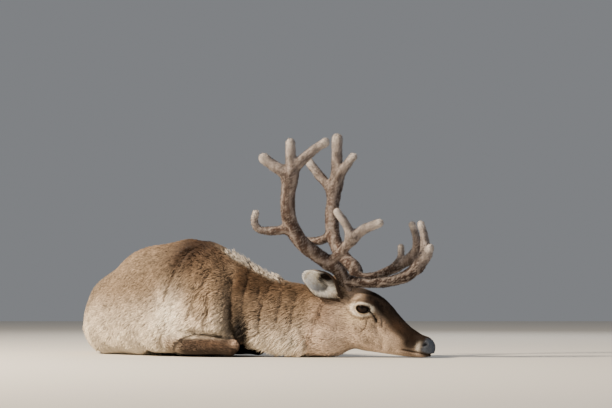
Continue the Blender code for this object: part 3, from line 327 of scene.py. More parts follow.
RIGHT_HIND_FOOT = [(-0.290, -0.060, 0.040, 0.022), (-0.250, -0.190, 0.019, 0.020), (-0.235, -0.240, 0.022, 0.023),
                   (-0.220, -0.280, 0.018, 0.018)]


def smooth_route(points, count):
    """Points with radii along a smooth line through the given ones, evenly counted by length."""
    points = np.asarray(points, float)
    steps = np.linalg.norm(np.diff(points[:, :3], axis=0), axis=1)
    at = np.concatenate([[0.0], np.cumsum(steps)])
    places = np.linspace(0, at[-1], count)
    return np.stack([curve(places, at, points[:, column]) for column in range(points.shape[1])], 1)


def branch_field(points, route, span=0.012):
    """The distance to a bent round bar, as the nearest of many short straight ones."""
    length = np.linalg.norm(np.diff(route[:, :3], axis=0), axis=1).sum()
    fine = smooth_route(route, max(4, int(length / span)))
    field = np.full(points.shape[:-1], np.inf)
    for start, end in zip(fine[:-1], fine[1:]):
        field = np.minimum(field, round_cone(points, start[:3], end[:3], start[3], end[3]))
    return field


def limb_route(points):
    points = np.asarray(points, float)
    return np.hstack([bend(points[:, 0], points[:, 1], points[:, 2]), points[:, 3:]])


def mirrored(points):
    return [(a, -b, c, d) for a, b, c, d in points]


LIMBS = [limb_route(route) for route in (FORE_LEG, FORE_FOOT, mirrored(FORE_LEG), mirrored(FORE_FOOT),
                                         LEFT_HIND_LEG, LEFT_HIND_FOOT, RIGHT_HIND_FOOT)]
TAIL = limb_route([(-0.860, 0.0, 0.200, 0.022), (-0.893, 0.003, 0.150, 0.020), (-0.908, 0.007, 0.095, 0.010)])


def legs_and_tail(points):
    field = np.full(points.shape[:-1], 1.0)
    for route in LIMBS + [TAIL]:
        box_low, box_high = route[:, :3].min(0) - 0.15, route[:, :3].max(0) + 0.15
        near = ((points > box_low) & (points < box_high)).all(-1)
        own = np.full(points.shape[:-1], 0.10)
        own[near] = branch_field(points[near], route, 0.02)
        field = blend(field, own, 0.012)
    return field


print("limb bars", len(LIMBS))

# %% [markdown]
# ## From distance to skin
# The whole skin lies under the solids by the coat's depth: 8 mm on the body, 3 mm on the legs and
# 2.5 mm on the face. Surface nets put one point in each grid cell that the skin crosses.

# %% Surface nets
BODY_DEPTH = 0.0080
FACE_DEPTH = 0.0025


def form(points):
    """The distance to the skin of the whole animal, flat where it lies on the ground."""
    along, aside = straighten(points[..., 0], points[..., 1])
    local = to_head(points)
    face = soft(local[..., 0], -0.12, 0.03) * soft(-np.abs(local[..., 1]), -0.16, -0.11)
    trunk = trunk_and_neck(points, along, aside)
    skull = head(local)
    body = blend(trunk, skull, 0.05) + BODY_DEPTH + (FACE_DEPTH - BODY_DEPTH) * face
    near = (np.abs(body) < 0.03) & (local[..., 0] > 0.03)
    body[near] += face_details(local[near])
    body = blend(body, legs_and_tail(points) + 0.003, 0.015)
    body = body + 0.0008 * ripple(points, 0.05) * (1 - face)
    nose = np.stack([local[..., 0], np.abs(local[..., 1]), local[..., 2]], -1) - (0.338, 0.0435, 0.002)
    tilt = np.radians(35.0)
    turned = np.stack([nose[..., 0] * np.cos(tilt) + nose[..., 2] * np.sin(tilt), nose[..., 1],
                       nose[..., 2] * np.cos(tilt) - nose[..., 0] * np.sin(tilt)], -1)
    body = -blend(-body, ball(turned, (0.0, 0.0, 0.0), (0.0110, 0.0120, 0.0050)), 0.003)
    return np.maximum(body, 0.001 - points[..., 2])


def sample(field, low, high, step, block=6):
    """Distances on a regular grid, worked out closely only in the blocks that the skin may cross."""
    low = np.asarray(low, float)
    count = np.ceil((np.asarray(high) - low) / (step * block)).astype(int)
    wide = step * block
    centres = [low[axis] + wide * (np.arange(count[axis]) + 0.5) - step / 2 for axis in range(3)]
    rough = field(np.stack(np.meshgrid(*centres, indexing="ij"), -1).reshape(-1, 3)).reshape(count)
    values = rough.repeat(block, 0).repeat(block, 1).repeat(block, 2)
    blocks = np.argwhere(np.abs(rough) < 1.2 * wide + 0.004)
    inner = np.stack(np.meshgrid(*[np.arange(block)] * 3, indexing="ij"), -1).reshape(-1, 3)
    places = (blocks[:, None, :] * block + inner[None]).reshape(-1, 3)
    values[tuple(places.T)] = field(low + places * step)
    return values, low


def surface_nets(values, low, step):
    """One point in each crossed cell, at the mean of its edges' crossings, and a quad round each edge."""
    inside = values < 0
    shape = np.array(values.shape) - 1
    corners = [(i, j, k) for i in (0, 1) for j in (0, 1) for k in (0, 1)]
    within = sum(inside[i:shape[0] + i, j:shape[1] + j, k:shape[2] + k].astype(np.int8) for i, j, k in corners)
    cells = np.argwhere((within > 0) & (within < 8))
    number = np.full(shape, -1)
    number[tuple(cells.T)] = np.arange(len(cells))
    total = np.zeros((len(cells), 3))
    crossings = np.zeros(len(cells))
    for corner in corners:
        for axis in range(3):
            if corner[axis]:
                continue
            other = list(corner)
            other[axis] = 1
            a, b = values[tuple((cells + corner).T)], values[tuple((cells + other).T)]
            crossed = (a < 0) != (b < 0)
            point = np.tile(np.array(corner, float), (len(cells), 1))
            point[:, axis] += np.where(crossed, a / np.where(crossed, a - b, 1), 0)
            total += point * crossed[:, None]
            crossings += crossed
    points = low + (cells + total / crossings[:, None]) * step
    faces = []
    for axis in range(3):
        first, second = [other for other in range(3) if other != axis]
        lower, upper = [slice(None)] * 3, [slice(None)] * 3
        lower[axis], upper[axis] = slice(0, -1), slice(1, None)
        edges = np.argwhere(inside[tuple(lower)] != inside[tuple(upper)])
        edges = edges[(edges[:, first] > 0) & (edges[:, second] > 0)]
        edges = edges[(edges[:, first] < shape[first]) & (edges[:, second] < shape[second])]
        ring = []
        for back_first, back_second in ((1, 1), (0, 1), (0, 0), (1, 0)):
            cell = edges.copy()
            cell[:, first] -= back_first
            cell[:, second] -= back_second
            ring.append(number[tuple(cell.T)])
        ring = np.stack(ring, 1)
        outward = inside[tuple(lower)][tuple(edges.T)] != (axis == 1)
        ring[~outward] = ring[~outward][:, ::-1]
        faces.append(ring)
    return points, np.concatenate(faces)


def body_only(points):
    """The skin behind the poll, closed by a plane inside the neck."""
    return np.maximum(form(points), to_head(points)[..., 0] + 0.050)


def head_only(points):
    return np.maximum(form(points), -0.065 - to_head(points)[..., 0])


BODY_GRID = 0.0070
HEAD_GRID = 0.0030
body_values = sample(body_only, (-0.68, -0.56, -0.014), (0.42, 0.68, 0.46), BODY_GRID)
body_points, body_faces = surface_nets(*body_values, BODY_GRID)
print("body skin", len(body_points), "points")
head_values = sample(head_only, (0.20, -0.62, -0.009), (0.69, -0.32, 0.29), HEAD_GRID)
head_points, head_faces = surface_nets(*head_values, HEAD_GRID)
print("head skin", len(head_points), "points")

# %% [markdown]
# ## Lids and eyeballs
# The eyeball stands out of the skin, and the lids lie over it. A ring of points starts on the
# ball at an almond-shaped edge, rises over the rim of the lid and runs out to the skin.

# %% Lids
SLIT_HALF = 0.0212
SLIT_RISE = 0.0125
SLIT_TILT = np.radians(10.0)
SLIT_LOW = 0.0025
LID_RADII = np.array([0.0295, 0.0262, 0.0265])


def skin_aside(forward, up):
    """How far from the middle the head's skin is, at places in the head's own frame: by halving."""
    inner, outer = np.zeros_like(forward), np.full_like(forward, 0.14)
    for _ in range(16):
        middle = (inner + outer) / 2
        within = head(np.stack([forward, middle, up], -1)) + FACE_DEPTH < 0
        inner, outer = np.where(within, middle, inner), np.where(within, outer, middle)
    return (inner + outer) / 2


def lids(side):
    """Rings from the eyeball's edge of sight to the skin; the height is a smooth maximum of lid and skin."""
    turn = np.linspace(0, 2 * np.pi, 96, endpoint=False)[None, :]
    out = np.array([0.0, 0.02, 0.05, 0.09, 0.14, 0.20, 0.27, 0.34, 0.42, 0.50, 0.60, 0.72, 0.86, 1.0])[:, None]
    flat = SLIT_HALF * np.cos(turn)
    rise = SLIT_RISE * np.sin(turn) * np.where(turn < np.pi, 0.85, 1.10)
    far_flat, far_rise = 0.040 * np.cos(turn), 0.036 * np.sin(turn)
    flat, rise = flat + (far_flat - flat) * out, rise + (far_rise - rise) * out
    forward = flat * np.cos(SLIT_TILT) - rise * np.sin(SLIT_TILT) + SLIT_LOW * (1 - out)
    up = flat * np.sin(SLIT_TILT) + rise * np.cos(SLIT_TILT) - SLIT_LOW * (1 - out)
    on_ball = np.sqrt(np.clip(EYE_RADIUS ** 2 - forward ** 2 - up ** 2, 0, None)) + 0.0004
    mound = LID_RADII[1] * np.sqrt(np.clip(1 - (forward / LID_RADII[0]) ** 2 - (up / LID_RADII[2]) ** 2, 0, None))
    skin = skin_aside(EYE[0] + forward, EYE[2] + up) - EYE[1]
    lid = mound - 0.0010 * np.exp(-((out - 0.30) / 0.07) ** 2) * (np.sin(turn) > -0.2)
    lid = lid + 0.0005 * np.sin(turn * 9 + 4 * out) * np.exp(-((out - 0.45) / 0.2) ** 2)
    raised = -blend(-lid, -skin, 0.006) - 0.0015 * soft(out, 0.75, 1.0)
    height = on_ball + (raised - on_ball) * soft(out, 0.0, 0.06)
    height = np.where(out >= 0.99, skin - 0.003, height)
    local = np.stack([EYE[0] + forward, (EYE[1] + height) * side, EYE[2] + up], -1)
    count, sides = local.shape[:2]
    index = np.arange(count * sides).reshape(count, sides)
    after = np.roll(index, -1, axis=1)
    faces = np.stack([index[:-1], after[:-1], after[1:], index[1:]], -1).reshape(-1, 4)
    return from_head(local.reshape(-1, 3)), faces if side < 0 else faces[:, ::-1], np.repeat(out[:, 0], sides)


def globe(side, rows=40, sides=64):
    """The eyeball as a ball with its pole outward and a flatter cornea standing 3 per cent proud."""
    down = np.linspace(0.002, np.pi - 0.002, rows)[:, None]
    turn = np.linspace(0, 2 * np.pi, sides, endpoint=False)[None, :]
    proud = 1 + 0.03 * np.exp(-(down / 0.55) ** 4)
    local = EYE_RADIUS * np.stack(np.broadcast_arrays(np.sin(down) * np.cos(turn), np.cos(down) * side * proud,
                                                      np.sin(down) * np.sin(turn)), -1)
    index = np.arange(rows * sides).reshape(rows, sides)
    after = np.roll(index, -1, axis=1)
    faces = np.stack([index[:-1], after[:-1], after[1:], index[1:]], -1).reshape(-1, 4)
    local = local + EYE * (1, side, 1)
    return from_head(local.reshape(-1, 3)), faces if side > 0 else faces[:, ::-1]


lid_meshes = [lids(side) for side in (1, -1)]
globes = [globe(side) for side in (1, -1)]
print("lid rings", [len(points) for points, _, _ in lid_meshes])

# %% [markdown]
# ## Ears
# An ear is a leaf that is rolled into a tube at its root and opens into a cup. Its half width
# and the angle that it wraps are given along its length.

# %% Ears
EAR_ROOT = {1: (0.028, 0.074, 0.212), -1: (0.028, 0.074, 0.212)}
EAR_TIP = {1: (-0.066, 0.158, 0.295), -1: (-0.060, 0.160, 0.286)}
EAR_OPENS = (0.30, 0.90, -0.25)
EAR_HALF = 0.045
EAR_WALL = 0.0032


def ear(side, rows=30, sides=33):
    """Outer and inner leaf: middle + r (w sin a - o cos a), where w is across and o the way that it opens."""
    root, tip = (from_poll(np.array(place[side]) * (1, side, 1)) for place in (EAR_ROOT, EAR_TIP))
    axis = unit(tip - root)
    opens = (np.array(EAR_OPENS) * (1, side, 1)) @ LEVEL_AXES
    opens = unit(opens - axis * (opens @ axis))
    wide = np.cross(axis, opens)
    t = np.linspace(-0.08, 0.985, rows)
    half = curve(t, [0, 0.15, 0.35, 0.55, 0.75, 0.9, 1.0], np.array([0.46, 0.72, 0.98, 0.98, 0.78, 0.50, 0.10]) * EAR_HALF)
    sweep = np.radians(curve(t, [0, 0.15, 0.35, 0.55, 0.75, 0.9, 1.0], [168, 147, 119, 93, 75, 63, 55]))
    radius = half / np.sin(np.minimum(sweep, np.pi / 2))
    middle = root + (tip - root) * t[:, None] - opens * (0.010 * np.sin(np.pi * np.clip(t, 0, 1)))[:, None]
    angle = np.linspace(-1, 1, sides)[None, :] * sweep[:, None]
    outer = (middle[:, None] + wide * (radius[:, None] * np.sin(angle))[..., None]
             - opens * (radius[:, None] * (np.cos(angle) - np.cos(sweep)[:, None] * 0.6))[..., None])
    inward = -(wide * np.sin(angle)[..., None] - opens * np.cos(angle)[..., None])
    wall = EAR_WALL * np.interp(t, [0, 0.7, 1.0], [1.2, 1.0, 0.5])
    inner = outer + inward * wall[:, None, None]
    return outer, inner, inward, axis, t, angle / sweep[:, None]


def ear_mesh(side):
    """Both leaves joined round the rim as one closed strip of quads."""
    outer, inner = ear(side)[:2]
    loop = np.concatenate([outer, inner[:, ::-1]], 1)
    rows, sides = loop.shape[:2]
    index = np.arange(rows * sides).reshape(rows, sides)
    after = np.roll(index, -1, axis=1)
    faces = np.stack([index[:-1], after[:-1], after[1:], index[1:]], -1).reshape(-1, 4)
    half = sides // 2
    cap = np.stack([index[-1, :half - 1], index[-1, 1:half], index[-1, sides - 2:half - 1:-1],
                    index[-1, sides - 1:half:-1]], -1)
    return loop.reshape(-1, 3), np.concatenate([faces, cap])


# %% [markdown]
# ## Antlers
# Every branch is a bent round bar, given forward of the poll, out from the middle, up from the
# ground and by radius. Soft webs join them, and the tips are blunt, as they are in velvet.

# %% Antlers
RIGHT_ANTLER = {
    "beam": [(0.046, 0.040, 0.240, 0.022), (0.036, 0.070, 0.296, 0.024), (-0.030, 0.130, 0.360, 0.026),
             (-0.080, 0.175, 0.412, 0.027), (-0.106, 0.202, 0.470, 0.027), (-0.110, 0.215, 0.520, 0.026),
             (-0.104, 0.228, 0.580, 0.026), (-0.092, 0.238, 0.640, 0.026)],
    "crown_back": [(-0.095, 0.236, 0.615, 0.022), (-0.110, 0.246, 0.645, 0.022),
                   (-0.145, 0.252, 0.670, 0.020), (-0.182, 0.262, 0.698, 0.020)],
    "crown_middle": [(-0.092, 0.238, 0.640, 0.022), (-0.090, 0.242, 0.680, 0.019), (-0.092, 0.238, 0.752, 0.017)],
    "crown_front": [(-0.092, 0.238, 0.635, 0.023), (-0.074, 0.235, 0.670, 0.021), (-0.044, 0.225, 0.700, 0.019),
                    (-0.006, 0.210, 0.735, 0.017), (0.024, 0.202, 0.754, 0.016)],
    "back_tine": [(-0.112, 0.198, 0.455, 0.017), (-0.180, 0.212, 0.446, 0.015), (-0.220, 0.225, 0.455, 0.014),
                  (-0.232, 0.230, 0.478, 0.014), (-0.226, 0.230, 0.508, 0.013)],
    "bez_tine": [(-0.002, 0.105, 0.332, 0.018), (0.071, 0.130, 0.386, 0.017), (0.108, 0.150, 0.421, 0.020)],
    "bez_back": [(0.100, 0.148, 0.415, 0.017), (0.092, 0.160, 0.455, 0.016), (0.060, 0.180, 0.512, 0.014)],
    "bez_front": [(0.104, 0.149, 0.418, 0.018), (0.150, 0.147, 0.452, 0.017), (0.202, 0.140, 0.472, 0.015)],
    "brow_tine": [(0.040, 0.054, 0.276, 0.020), (0.100, 0.054, 0.266, 0.018), (0.160, 0.050, 0.264, 0.018),
                  (0.215, 0.045, 0.270, 0.019), (0.270, 0.040, 0.289, 0.021), (0.312, 0.032, 0.322, 0.020)],
    "brow_top": [(0.304, 0.033, 0.315, 0.019), (0.330, 0.024, 0.360, 0.020), (0.330, 0.016, 0.405, 0.017),
                 (0.314, 0.010, 0.470, 0.013)],
    "brow_side": [(0.318, 0.030, 0.340, 0.018), (0.345, 0.038, 0.360, 0.018), (0.358, 0.044, 0.388, 0.013)],
}
LEFT_ANTLER = {
    "beam": [(0.046, 0.040, 0.240, 0.022), (0.042, 0.075, 0.306, 0.024), (-0.013, 0.118, 0.350, 0.025),
             (-0.055, 0.152, 0.393, 0.025), (-0.083, 0.182, 0.445, 0.025), (-0.094, 0.204, 0.510, 0.025),
             (-0.095, 0.220, 0.570, 0.024), (-0.090, 0.231, 0.625, 0.024)],
    "crown_back": [(-0.094, 0.226, 0.580, 0.020), (-0.122, 0.239, 0.622, 0.018),
                   (-0.163, 0.245, 0.668, 0.017), (-0.200, 0.250, 0.712, 0.016)],
    "crown_middle": [(-0.090, 0.231, 0.620, 0.023), (-0.087, 0.236, 0.690, 0.021), (-0.085, 0.236, 0.795, 0.020)],
    "crown_front": [(-0.099, 0.230, 0.610, 0.020), (-0.078, 0.230, 0.650, 0.019), (-0.049, 0.220, 0.690, 0.017),
                    (-0.014, 0.212, 0.726, 0.015)],
    "back_tine": [(-0.088, 0.180, 0.440, 0.017), (-0.140, 0.198, 0.420, 0.015), (-0.205, 0.210, 0.424, 0.014),
                  (-0.245, 0.215, 0.442, 0.012)],
    "brow_tine": [(0.040, 0.054, 0.282, 0.019), (0.105, 0.050, 0.284, 0.017), (0.157, 0.051, 0.300, 0.017),
                  (0.205, 0.056, 0.323, 0.018), (0.252, 0.060, 0.349, 0.018)],
    "brow_top": [(0.245, 0.060, 0.345, 0.017), (0.274, 0.060, 0.385, 0.016), (0.273, 0.055, 0.435, 0.014),
                 (0.262, 0.050, 0.470, 0.013)],
    "brow_side": [(0.200, 0.056, 0.321, 0.015), (0.214, 0.068, 0.357, 0.013), (0.212, 0.074, 0.390, 0.012)],
}
FREE_ENDS = ["crown_back", "crown_middle", "crown_front", "back_tine", "bez_back", "bez_front", "brow_top", "brow_side"]


def antler_routes(branches, side):
    routes = {}
    for name, route in branches.items():
        route = np.asarray(route, float)
        routes[name] = np.hstack([from_poll(route[:, :3] * (1.0, side, 1.0)), route[:, 3:]])
    return routes


def antler_field(points, routes):
    """The branches with soft webs, thinner by the velvet, and low lumps and cords under the velvet."""
    field = np.full(points.shape[:-1], 1.0)
    for route in routes.values():
        low, high = route[:, :3].min(0) - 0.09, route[:, :3].max(0) + 0.09
        near = ((points > low) & (points < high)).all(-1)
        own = np.full(points.shape[:-1], 0.06)
        own[near] = branch_field(points[near], route)
        field = blend(field, own, 0.014)
    stretched = points * (1.0, 1.0, 0.35)
    return field + 0.0012 + 0.0007 * ripple(stretched, 0.010, 1) + 0.0006 * ripple(points, 0.030, 2)


def antler(branches, side):
    routes = antler_routes(branches, side)
    ends = np.concatenate(list(routes.values()))[:, :3]
    values, low = sample(lambda places: antler_field(places, routes), ends.min(0) - 0.04, ends.max(0) + 0.04, 0.0032)
    points, faces = surface_nets(values, low, 0.0032)
    return points, faces, routes


antlers = [antler(RIGHT_ANTLER, 1), antler(LEFT_ANTLER, -1)]
print("antlers", [len(points) for points, _, _ in antlers])

# %% [markdown]
# ## Colours of the coat, with painted shade and a painted highlight
# One function paints skin and tufts alike. It starts with the grey-brown of the back and lays other colours over it,
# each with a soft weight that depends on the place on the animal. Some layers paint light and shade, wholly or in part:
# shade in the gap before the shoulder, in the creases, at the elbow, under the near forearm, on the forehead, in the
# mouth and in the wrinkles, and a highlight on the knee.

# %% Markings and painted shade
def rgb(code):
    """A colour #rrggbb as linear numbers: ((c + 0.055) / 1.055)^2.4, or c / 12.92 where it is dark."""
    value = np.array([int(code[place:place + 2], 16) for place in (1, 3, 5)]) / 255
    return np.where(value > 0.04045, ((value + 0.055) / 1.055) ** 2.4, value / 12.92)


def spot(x, z, centre, radii):
    """A round soft patch: exp(-(x/a)^2 - (z/b)^2)."""
    return np.exp(-((x - centre[0]) / radii[0]) ** 2 - ((z - centre[1]) / radii[1]) ** 2)


# Lines, along the back and up, where painted shade darkens the creases of the flank and the fold at the elbow.
CREASES = [[(0.036, 0.384), (0.032, 0.329), (0.021, 0.257), (0.011, 0.211)],
           [(0.138, 0.271), (0.123, 0.221), (0.108, 0.177), (0.099, 0.139)],
           [(0.158, 0.214), (0.158, 0.161), (0.152, 0.115)]]
ELBOW = [(0.036, 0.022), (0.056, 0.046), (0.078, 0.070), (0.102, 0.081), (0.135, 0.079), (0.180, 0.073)]


def markings_and_painted_light(points):
    """The coat's colour at places on the animal, with painted shade and a painted highlight in places, as linear red,
    green and blue.
    """
    along, aside = straighten(points[:, 0], points[:, 1])
    up, across = points[:, 2], np.abs(aside)
    local = to_head(points)
    f, a, u = local[:, 0], np.abs(local[:, 1]), local[:, 2]
    on_head = soft(f, -0.10, -0.01) * soft(-a, -0.17, -0.12)
    colour = np.tile(rgb("#82715F"), (len(points), 1))

    def lay(code, weight):
        colour[:] += (rgb(code) - colour) * np.clip(weight, 0, 1)[:, None]

    lay("#DCCFBB", soft(-up, -0.26, -0.06) * 0.9)
    lay("#736658", soft(-along, 0.30, 0.62) * soft(up, 0.10, 0.24) * 0.8)
    lay("#EBE0CE", spot(along, up, (0.04, 0.16), (0.07, 0.08)) * 0.8)
    lay("#5C4A3B", soft(-across, -0.10, -0.02) * soft(up, 0.28, 0.38) * 0.6)
    lay("#2C1E16", soft(up, 0.24, 0.38) * spot(along, 0 * up, (0.075, 0), (0.16, 1)) * 0.97)
    lay("#5F4B3B", spot(along, up, (0.135, 0.30), (0.060, 0.075)) * 0.7)
    lay("#A48E75", spot(along, up, (0.135, 0.21), (0.055, 0.09)) * 0.7)
    lay("#DDD5C8", soft(-along, 0.79, 0.85))
    lay("#8B7A68", soft(-along, 0.86, 0.89) * soft(up, 0.13, 0.17) * 0.7)
    neck = soft(along, 0.19, 0.25)
    lay("#927E69", neck)
    lay("#54402F", neck * soft(up, 0.16, 0.26) * 0.9)
    lay("#D6C8B4", neck * soft(-up, -0.175, -0.05) * 0.9)
    # Dark band before the shoulder: darker hair, with painted shade where the shoulder turns away from the light.
    lay("#2E2018", spot(along, up, (0.226, 0.15), (0.022, 0.11)) * 0.85)
    # Painted shadow in the gap between the foreleg, the shoulder and the neck.
    lay("#120D0A", spot(along, up, (0.260, 0.078), (0.031, 0.085)) * 1.4)
    # Painted shade in the creases of the flank.
    for knots in CREASES:
        lay("#33271E", np.exp(-(to_line(along, up, knots) / 0.0048) ** 2) * 0.75)
    lay("#D2C6B4", soft(-across, -0.026, -0.010) * spot(along, 0 * up, (0.265, 0), (0.100, 1)) * (up > 0.2) * 0.7)
    limbs = np.min([branch_field(points, route, 0.03) for route in LIMBS], axis=0)
    on_limb = soft(-limbs, -0.012, 0.0) * soft(-up, -0.11, -0.085) * (1 - on_head)
    near_arm = soft(aside, 0.0, 0.05) * soft(along, -0.10, -0.02) * soft(-along, -0.30, -0.24)
    lay("#2F231C", on_limb * (1 - near_arm))
    lay("#84705E", near_arm * soft(-up, -0.085, -0.050) * soft(along, -0.03, 0.03) * 0.8)
    # Painted shade on the underside of the near forearm, where the leg's hair is also darker.
    lay("#33261E", near_arm * soft(-up, -0.074, -0.058) * soft(along, 0.045, 0.085) * 0.92)
    lay("#6E5848", near_arm * spot(along, up, (0.165, 0.052), (0.035, 0.016)) * 0.6)
    # Painted shade in the fold at the elbow.
    lay("#1C1410", near_arm * np.exp(-(to_line(along, up, ELBOW) / 0.0065) ** 2) * 0.9)
    # Painted highlight on the near knee.
    lay("#C4A892", near_arm * spot(along, up, (0.229, 0.056), (0.013, 0.016)) * 0.9)
    face = np.tile(rgb("#B39D8A"), (len(points), 1))
    colour += (face - colour) * on_head[:, None]
    top = u - curve(f, HEAD_AT, FACE_UP)
    lay("#7A6553", on_head * soft(-f, -0.02, 0.05) * 0.8)
    lay("#CBB698", on_head * spot(f, u, (0.085, 0.020), (0.055, 0.045)) * soft(a, 0.03, 0.05))
    lay("#D2BBA3", on_head * spot(f, u, (0.17, -0.04), (0.09, 0.05)) * 0.85)
    # The front of the face: darker hair, with the painted shadow of the antlers over it.
    lay("#1C130E", on_head * soft(top, -0.064, -0.030) * soft(f, 0.05, 0.10) * 0.97)
    lay("#4A3729", on_head * spot(f, u, (0.225, 0.022), (0.045, 0.022)) * 0.7)
    lay("#22170F", on_head * np.clip(1.3 * spot(f, u, (0.284, 0.002), (0.034, 0.050)), 0, 0.97))
    lay("#D3BCA6", on_head * soft(-u, 0.040, 0.072) * soft(-f, -0.27, -0.22) * 0.85)
    lay("#D6CCBF", on_head * spot(f, u, (0.320, -0.016), (0.009, 0.018)) * soft(a, 0.012, 0.03) * 0.95)
    lay("#2E231D", on_head * soft(f, 0.28, 0.31) * soft(u, 0.006, 0.018) * 0.9)
    lay("#656C78", on_head * soft(f, 0.326, 0.340) * soft(u, -0.030, -0.018))
    lay("#2A2A2E", on_head * spot(f, u, (0.338, 0.003), (0.010, 0.006)) * soft(a, 0.028, 0.036))
    # The mouth's line: dark lip edge with painted shade in its groove.
    lay("#3A2B22", on_head * np.exp(-(to_line(f, u, MOUTH) / 0.0036) ** 2) * soft(f, 0.25, 0.27) * 0.85)
    # Painted shade in the wrinkles under the eye.
    for knots in WRINKLES:
        lay("#3B2B22", on_head * np.exp(-(to_line(f, u, knots) / 0.0020) ** 2) * 0.75)
    flat, rise = f - EYE[0] - SLIT_LOW, u - EYE[2] + SLIT_LOW
    flat, rise = (flat * np.cos(SLIT_TILT) + rise * np.sin(SLIT_TILT),
                  rise * np.cos(SLIT_TILT) - flat * np.sin(SLIT_TILT))
    ring = np.hypot(flat / 0.0245, rise / np.where(rise > 0, 0.0128, 0.0158))
    by_eye = on_head * soft(a, 0.045, 0.060)
    lay("#4A382B", by_eye * np.exp(-((ring - 2.15) / 0.28) ** 2) * soft(np.abs(rise), 0.004, 0.016) * 0.60)
    lay("#F0E6D6", by_eye * np.exp(-((ring - 1.46) / 0.24) ** 2) * 0.90)
    lay("#120C0A", by_eye * soft(-ring, -1.14, -0.98))
    streak = to_line(f, u, GLAND) / np.interp(f, [0.112, 0.147], [0.0040, 0.0072])
    lay("#17100C", on_head * np.exp(-streak ** 4) * soft(a, 0.03, 0.045))
    lay("#221812", on_head * spot(f, u, (-0.004, 0.066), (0.036, 0.026)) * soft(a, 0.045, 0.06) * 0.95)
    shade = 1 + 0.10 * ripple(points, 0.060) + 0.07 * ripple(points, 0.020, 1)
    return np.clip(colour * shade[:, None], 0, 1)


# %% [markdown]
# ## Meshes from arrays
# All pieces are written to Blender as whole arrays: corners, the corners of each face, one colour
# a corner and the map OFBake, which is an unwrap of the skin's own shape.

# %% Objects
made = []


def mesh_object(name, points, loops, totals, colours=None, uv=None, smooth=True):
    """A mesh from flat arrays: loops holds the corners of all faces in turn, totals each face's count."""
    mesh = bpy.data.meshes.new(name)
    mesh.vertices.add(len(points))
    mesh.vertices.foreach_set("co", np.ascontiguousarray(points, dtype=np.float32).ravel())
    mesh.loops.add(len(loops))
    mesh.loops.foreach_set("vertex_index", np.ascontiguousarray(loops, dtype=np.int32))
    mesh.polygons.add(len(totals))
    starts = np.concatenate([[0], np.cumsum(totals)[:-1]])
    mesh.polygons.foreach_set("loop_start", starts.astype(np.int32))
    mesh.polygons.foreach_set("use_smooth", np.full(len(totals), smooth))
    if uv is not None:
        layer = mesh.uv_layers.new(name="OFBake")
        layer.data.foreach_set("uv", np.ascontiguousarray(uv[loops], dtype=np.float32).ravel())
    if colours is not None:
        layer = mesh.attributes.new("Col", "FLOAT_COLOR", "POINT")
        whole = np.concatenate([colours, np.ones((len(colours), 1))], 1).astype(np.float32)
        layer.data.foreach_set("color", whole.ravel())
    mesh.update(calc_edges=True)
    mesh.validate()
    obj = bpy.data.objects.new(name, mesh)
    bpy.context.scene.collection.objects.link(obj)
    made.append(obj)
    return obj


def quads(faces):
    return np.asarray(faces).ravel(), np.full(len(faces), 4)


def add_node(nodes, kind, name, inputs, **settings):
    """One shader node with its settings and with its inputs set or linked."""
    node = nodes.new(kind)
    for key, value in settings.items():
        setattr(node, key, value)
    for key, value in inputs.items():
        if isinstance(value, bpy.types.NodeSocket):
            nodes.id_data.links.new(value, node.inputs[key])
        else:
            node.inputs[key].default_value = value
    node.label = name
    return node


def painted(name, roughness, grain, bump, sheen=0.0, contrast=0.25, shine=0.5, ior=1.5):
    """A finish that takes the painted colour, varies it with fine noise and roughens the surface.

    grain is the noise's size in metres, so its scale is 1 / grain."""
    material = bpy.data.materials.new(name)
    material.use_nodes = True
    nodes = material.node_tree.nodes
    shader = nodes["Principled BSDF"]
    place = add_node(nodes, "ShaderNodeTexCoord", "place", {})
    paint = add_node(nodes, "ShaderNodeAttribute", "paint", {}, attribute_name="Col")
    noise = add_node(nodes, "ShaderNodeTexNoise", "grain",
                     {"Vector": place.outputs["Object"], "Scale": 1 / grain, "Detail": 3.0, "Roughness": 0.6})
    level = add_node(nodes, "ShaderNodeMapRange", "level", {"Value": noise.outputs["Fac"], "From Min": 0.3,
                                                            "From Max": 0.7, "To Min": 1 - contrast,
                                                            "To Max": 1 + contrast})
    mix = add_node(nodes, "ShaderNodeVectorMath", "vary", {0: paint.outputs["Color"], 1: level.outputs["Result"]},
                   operation="MULTIPLY")
    relief = add_node(nodes, "ShaderNodeBump", "relief", {"Height": noise.outputs["Fac"], "Strength": bump,
                                                          "Distance": grain * 0.6})
    nodes.id_data.links.new(mix.outputs[0], shader.inputs["Base Color"])
    nodes.id_data.links.new(relief.outputs["Normal"], shader.inputs["Normal"])
    shader.inputs["Roughness"].default_value = roughness
    shader.inputs["Sheen Weight"].default_value = sheen
    shader.inputs["Specular IOR Level"].default_value = shine
    shader.inputs["IOR"].default_value = ior
    return material


HAIR = painted("summer coat hair", 0.62, 0.0040, 0.25, sheen=0.01, contrast=0.16, shine=0.10)
SKIN = painted("skin under the coat", 0.80, 0.0030, 0.50, contrast=0.30, shine=0.15)
VELVET = painted("antler velvet", 0.85, 0.0022, 0.70, sheen=0.03, contrast=0.28, shine=0.10)
EYE_WET = painted("wet dark eye", 0.05, 0.0100, 0.0, contrast=0.05, shine=0.22, ior=1.376)
HORN = painted("hoof horn", 0.45, 0.0060, 0.35, contrast=0.25)


def dress(obj, material, nodes=()):
    """Give a piece its finish and its slot, let it lie with the animal, and hide the solids that it stands for."""
    obj.data.materials.append(material)
    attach(obj, "root")
    if nodes:
        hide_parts(*nodes)
    return obj


# %% [markdown]
# ## The skin
# Body and head are two closed shells of the same distance, one finer than the other. They run
# into each other inside the neck, so no seam shows. The lids are part of the skin.

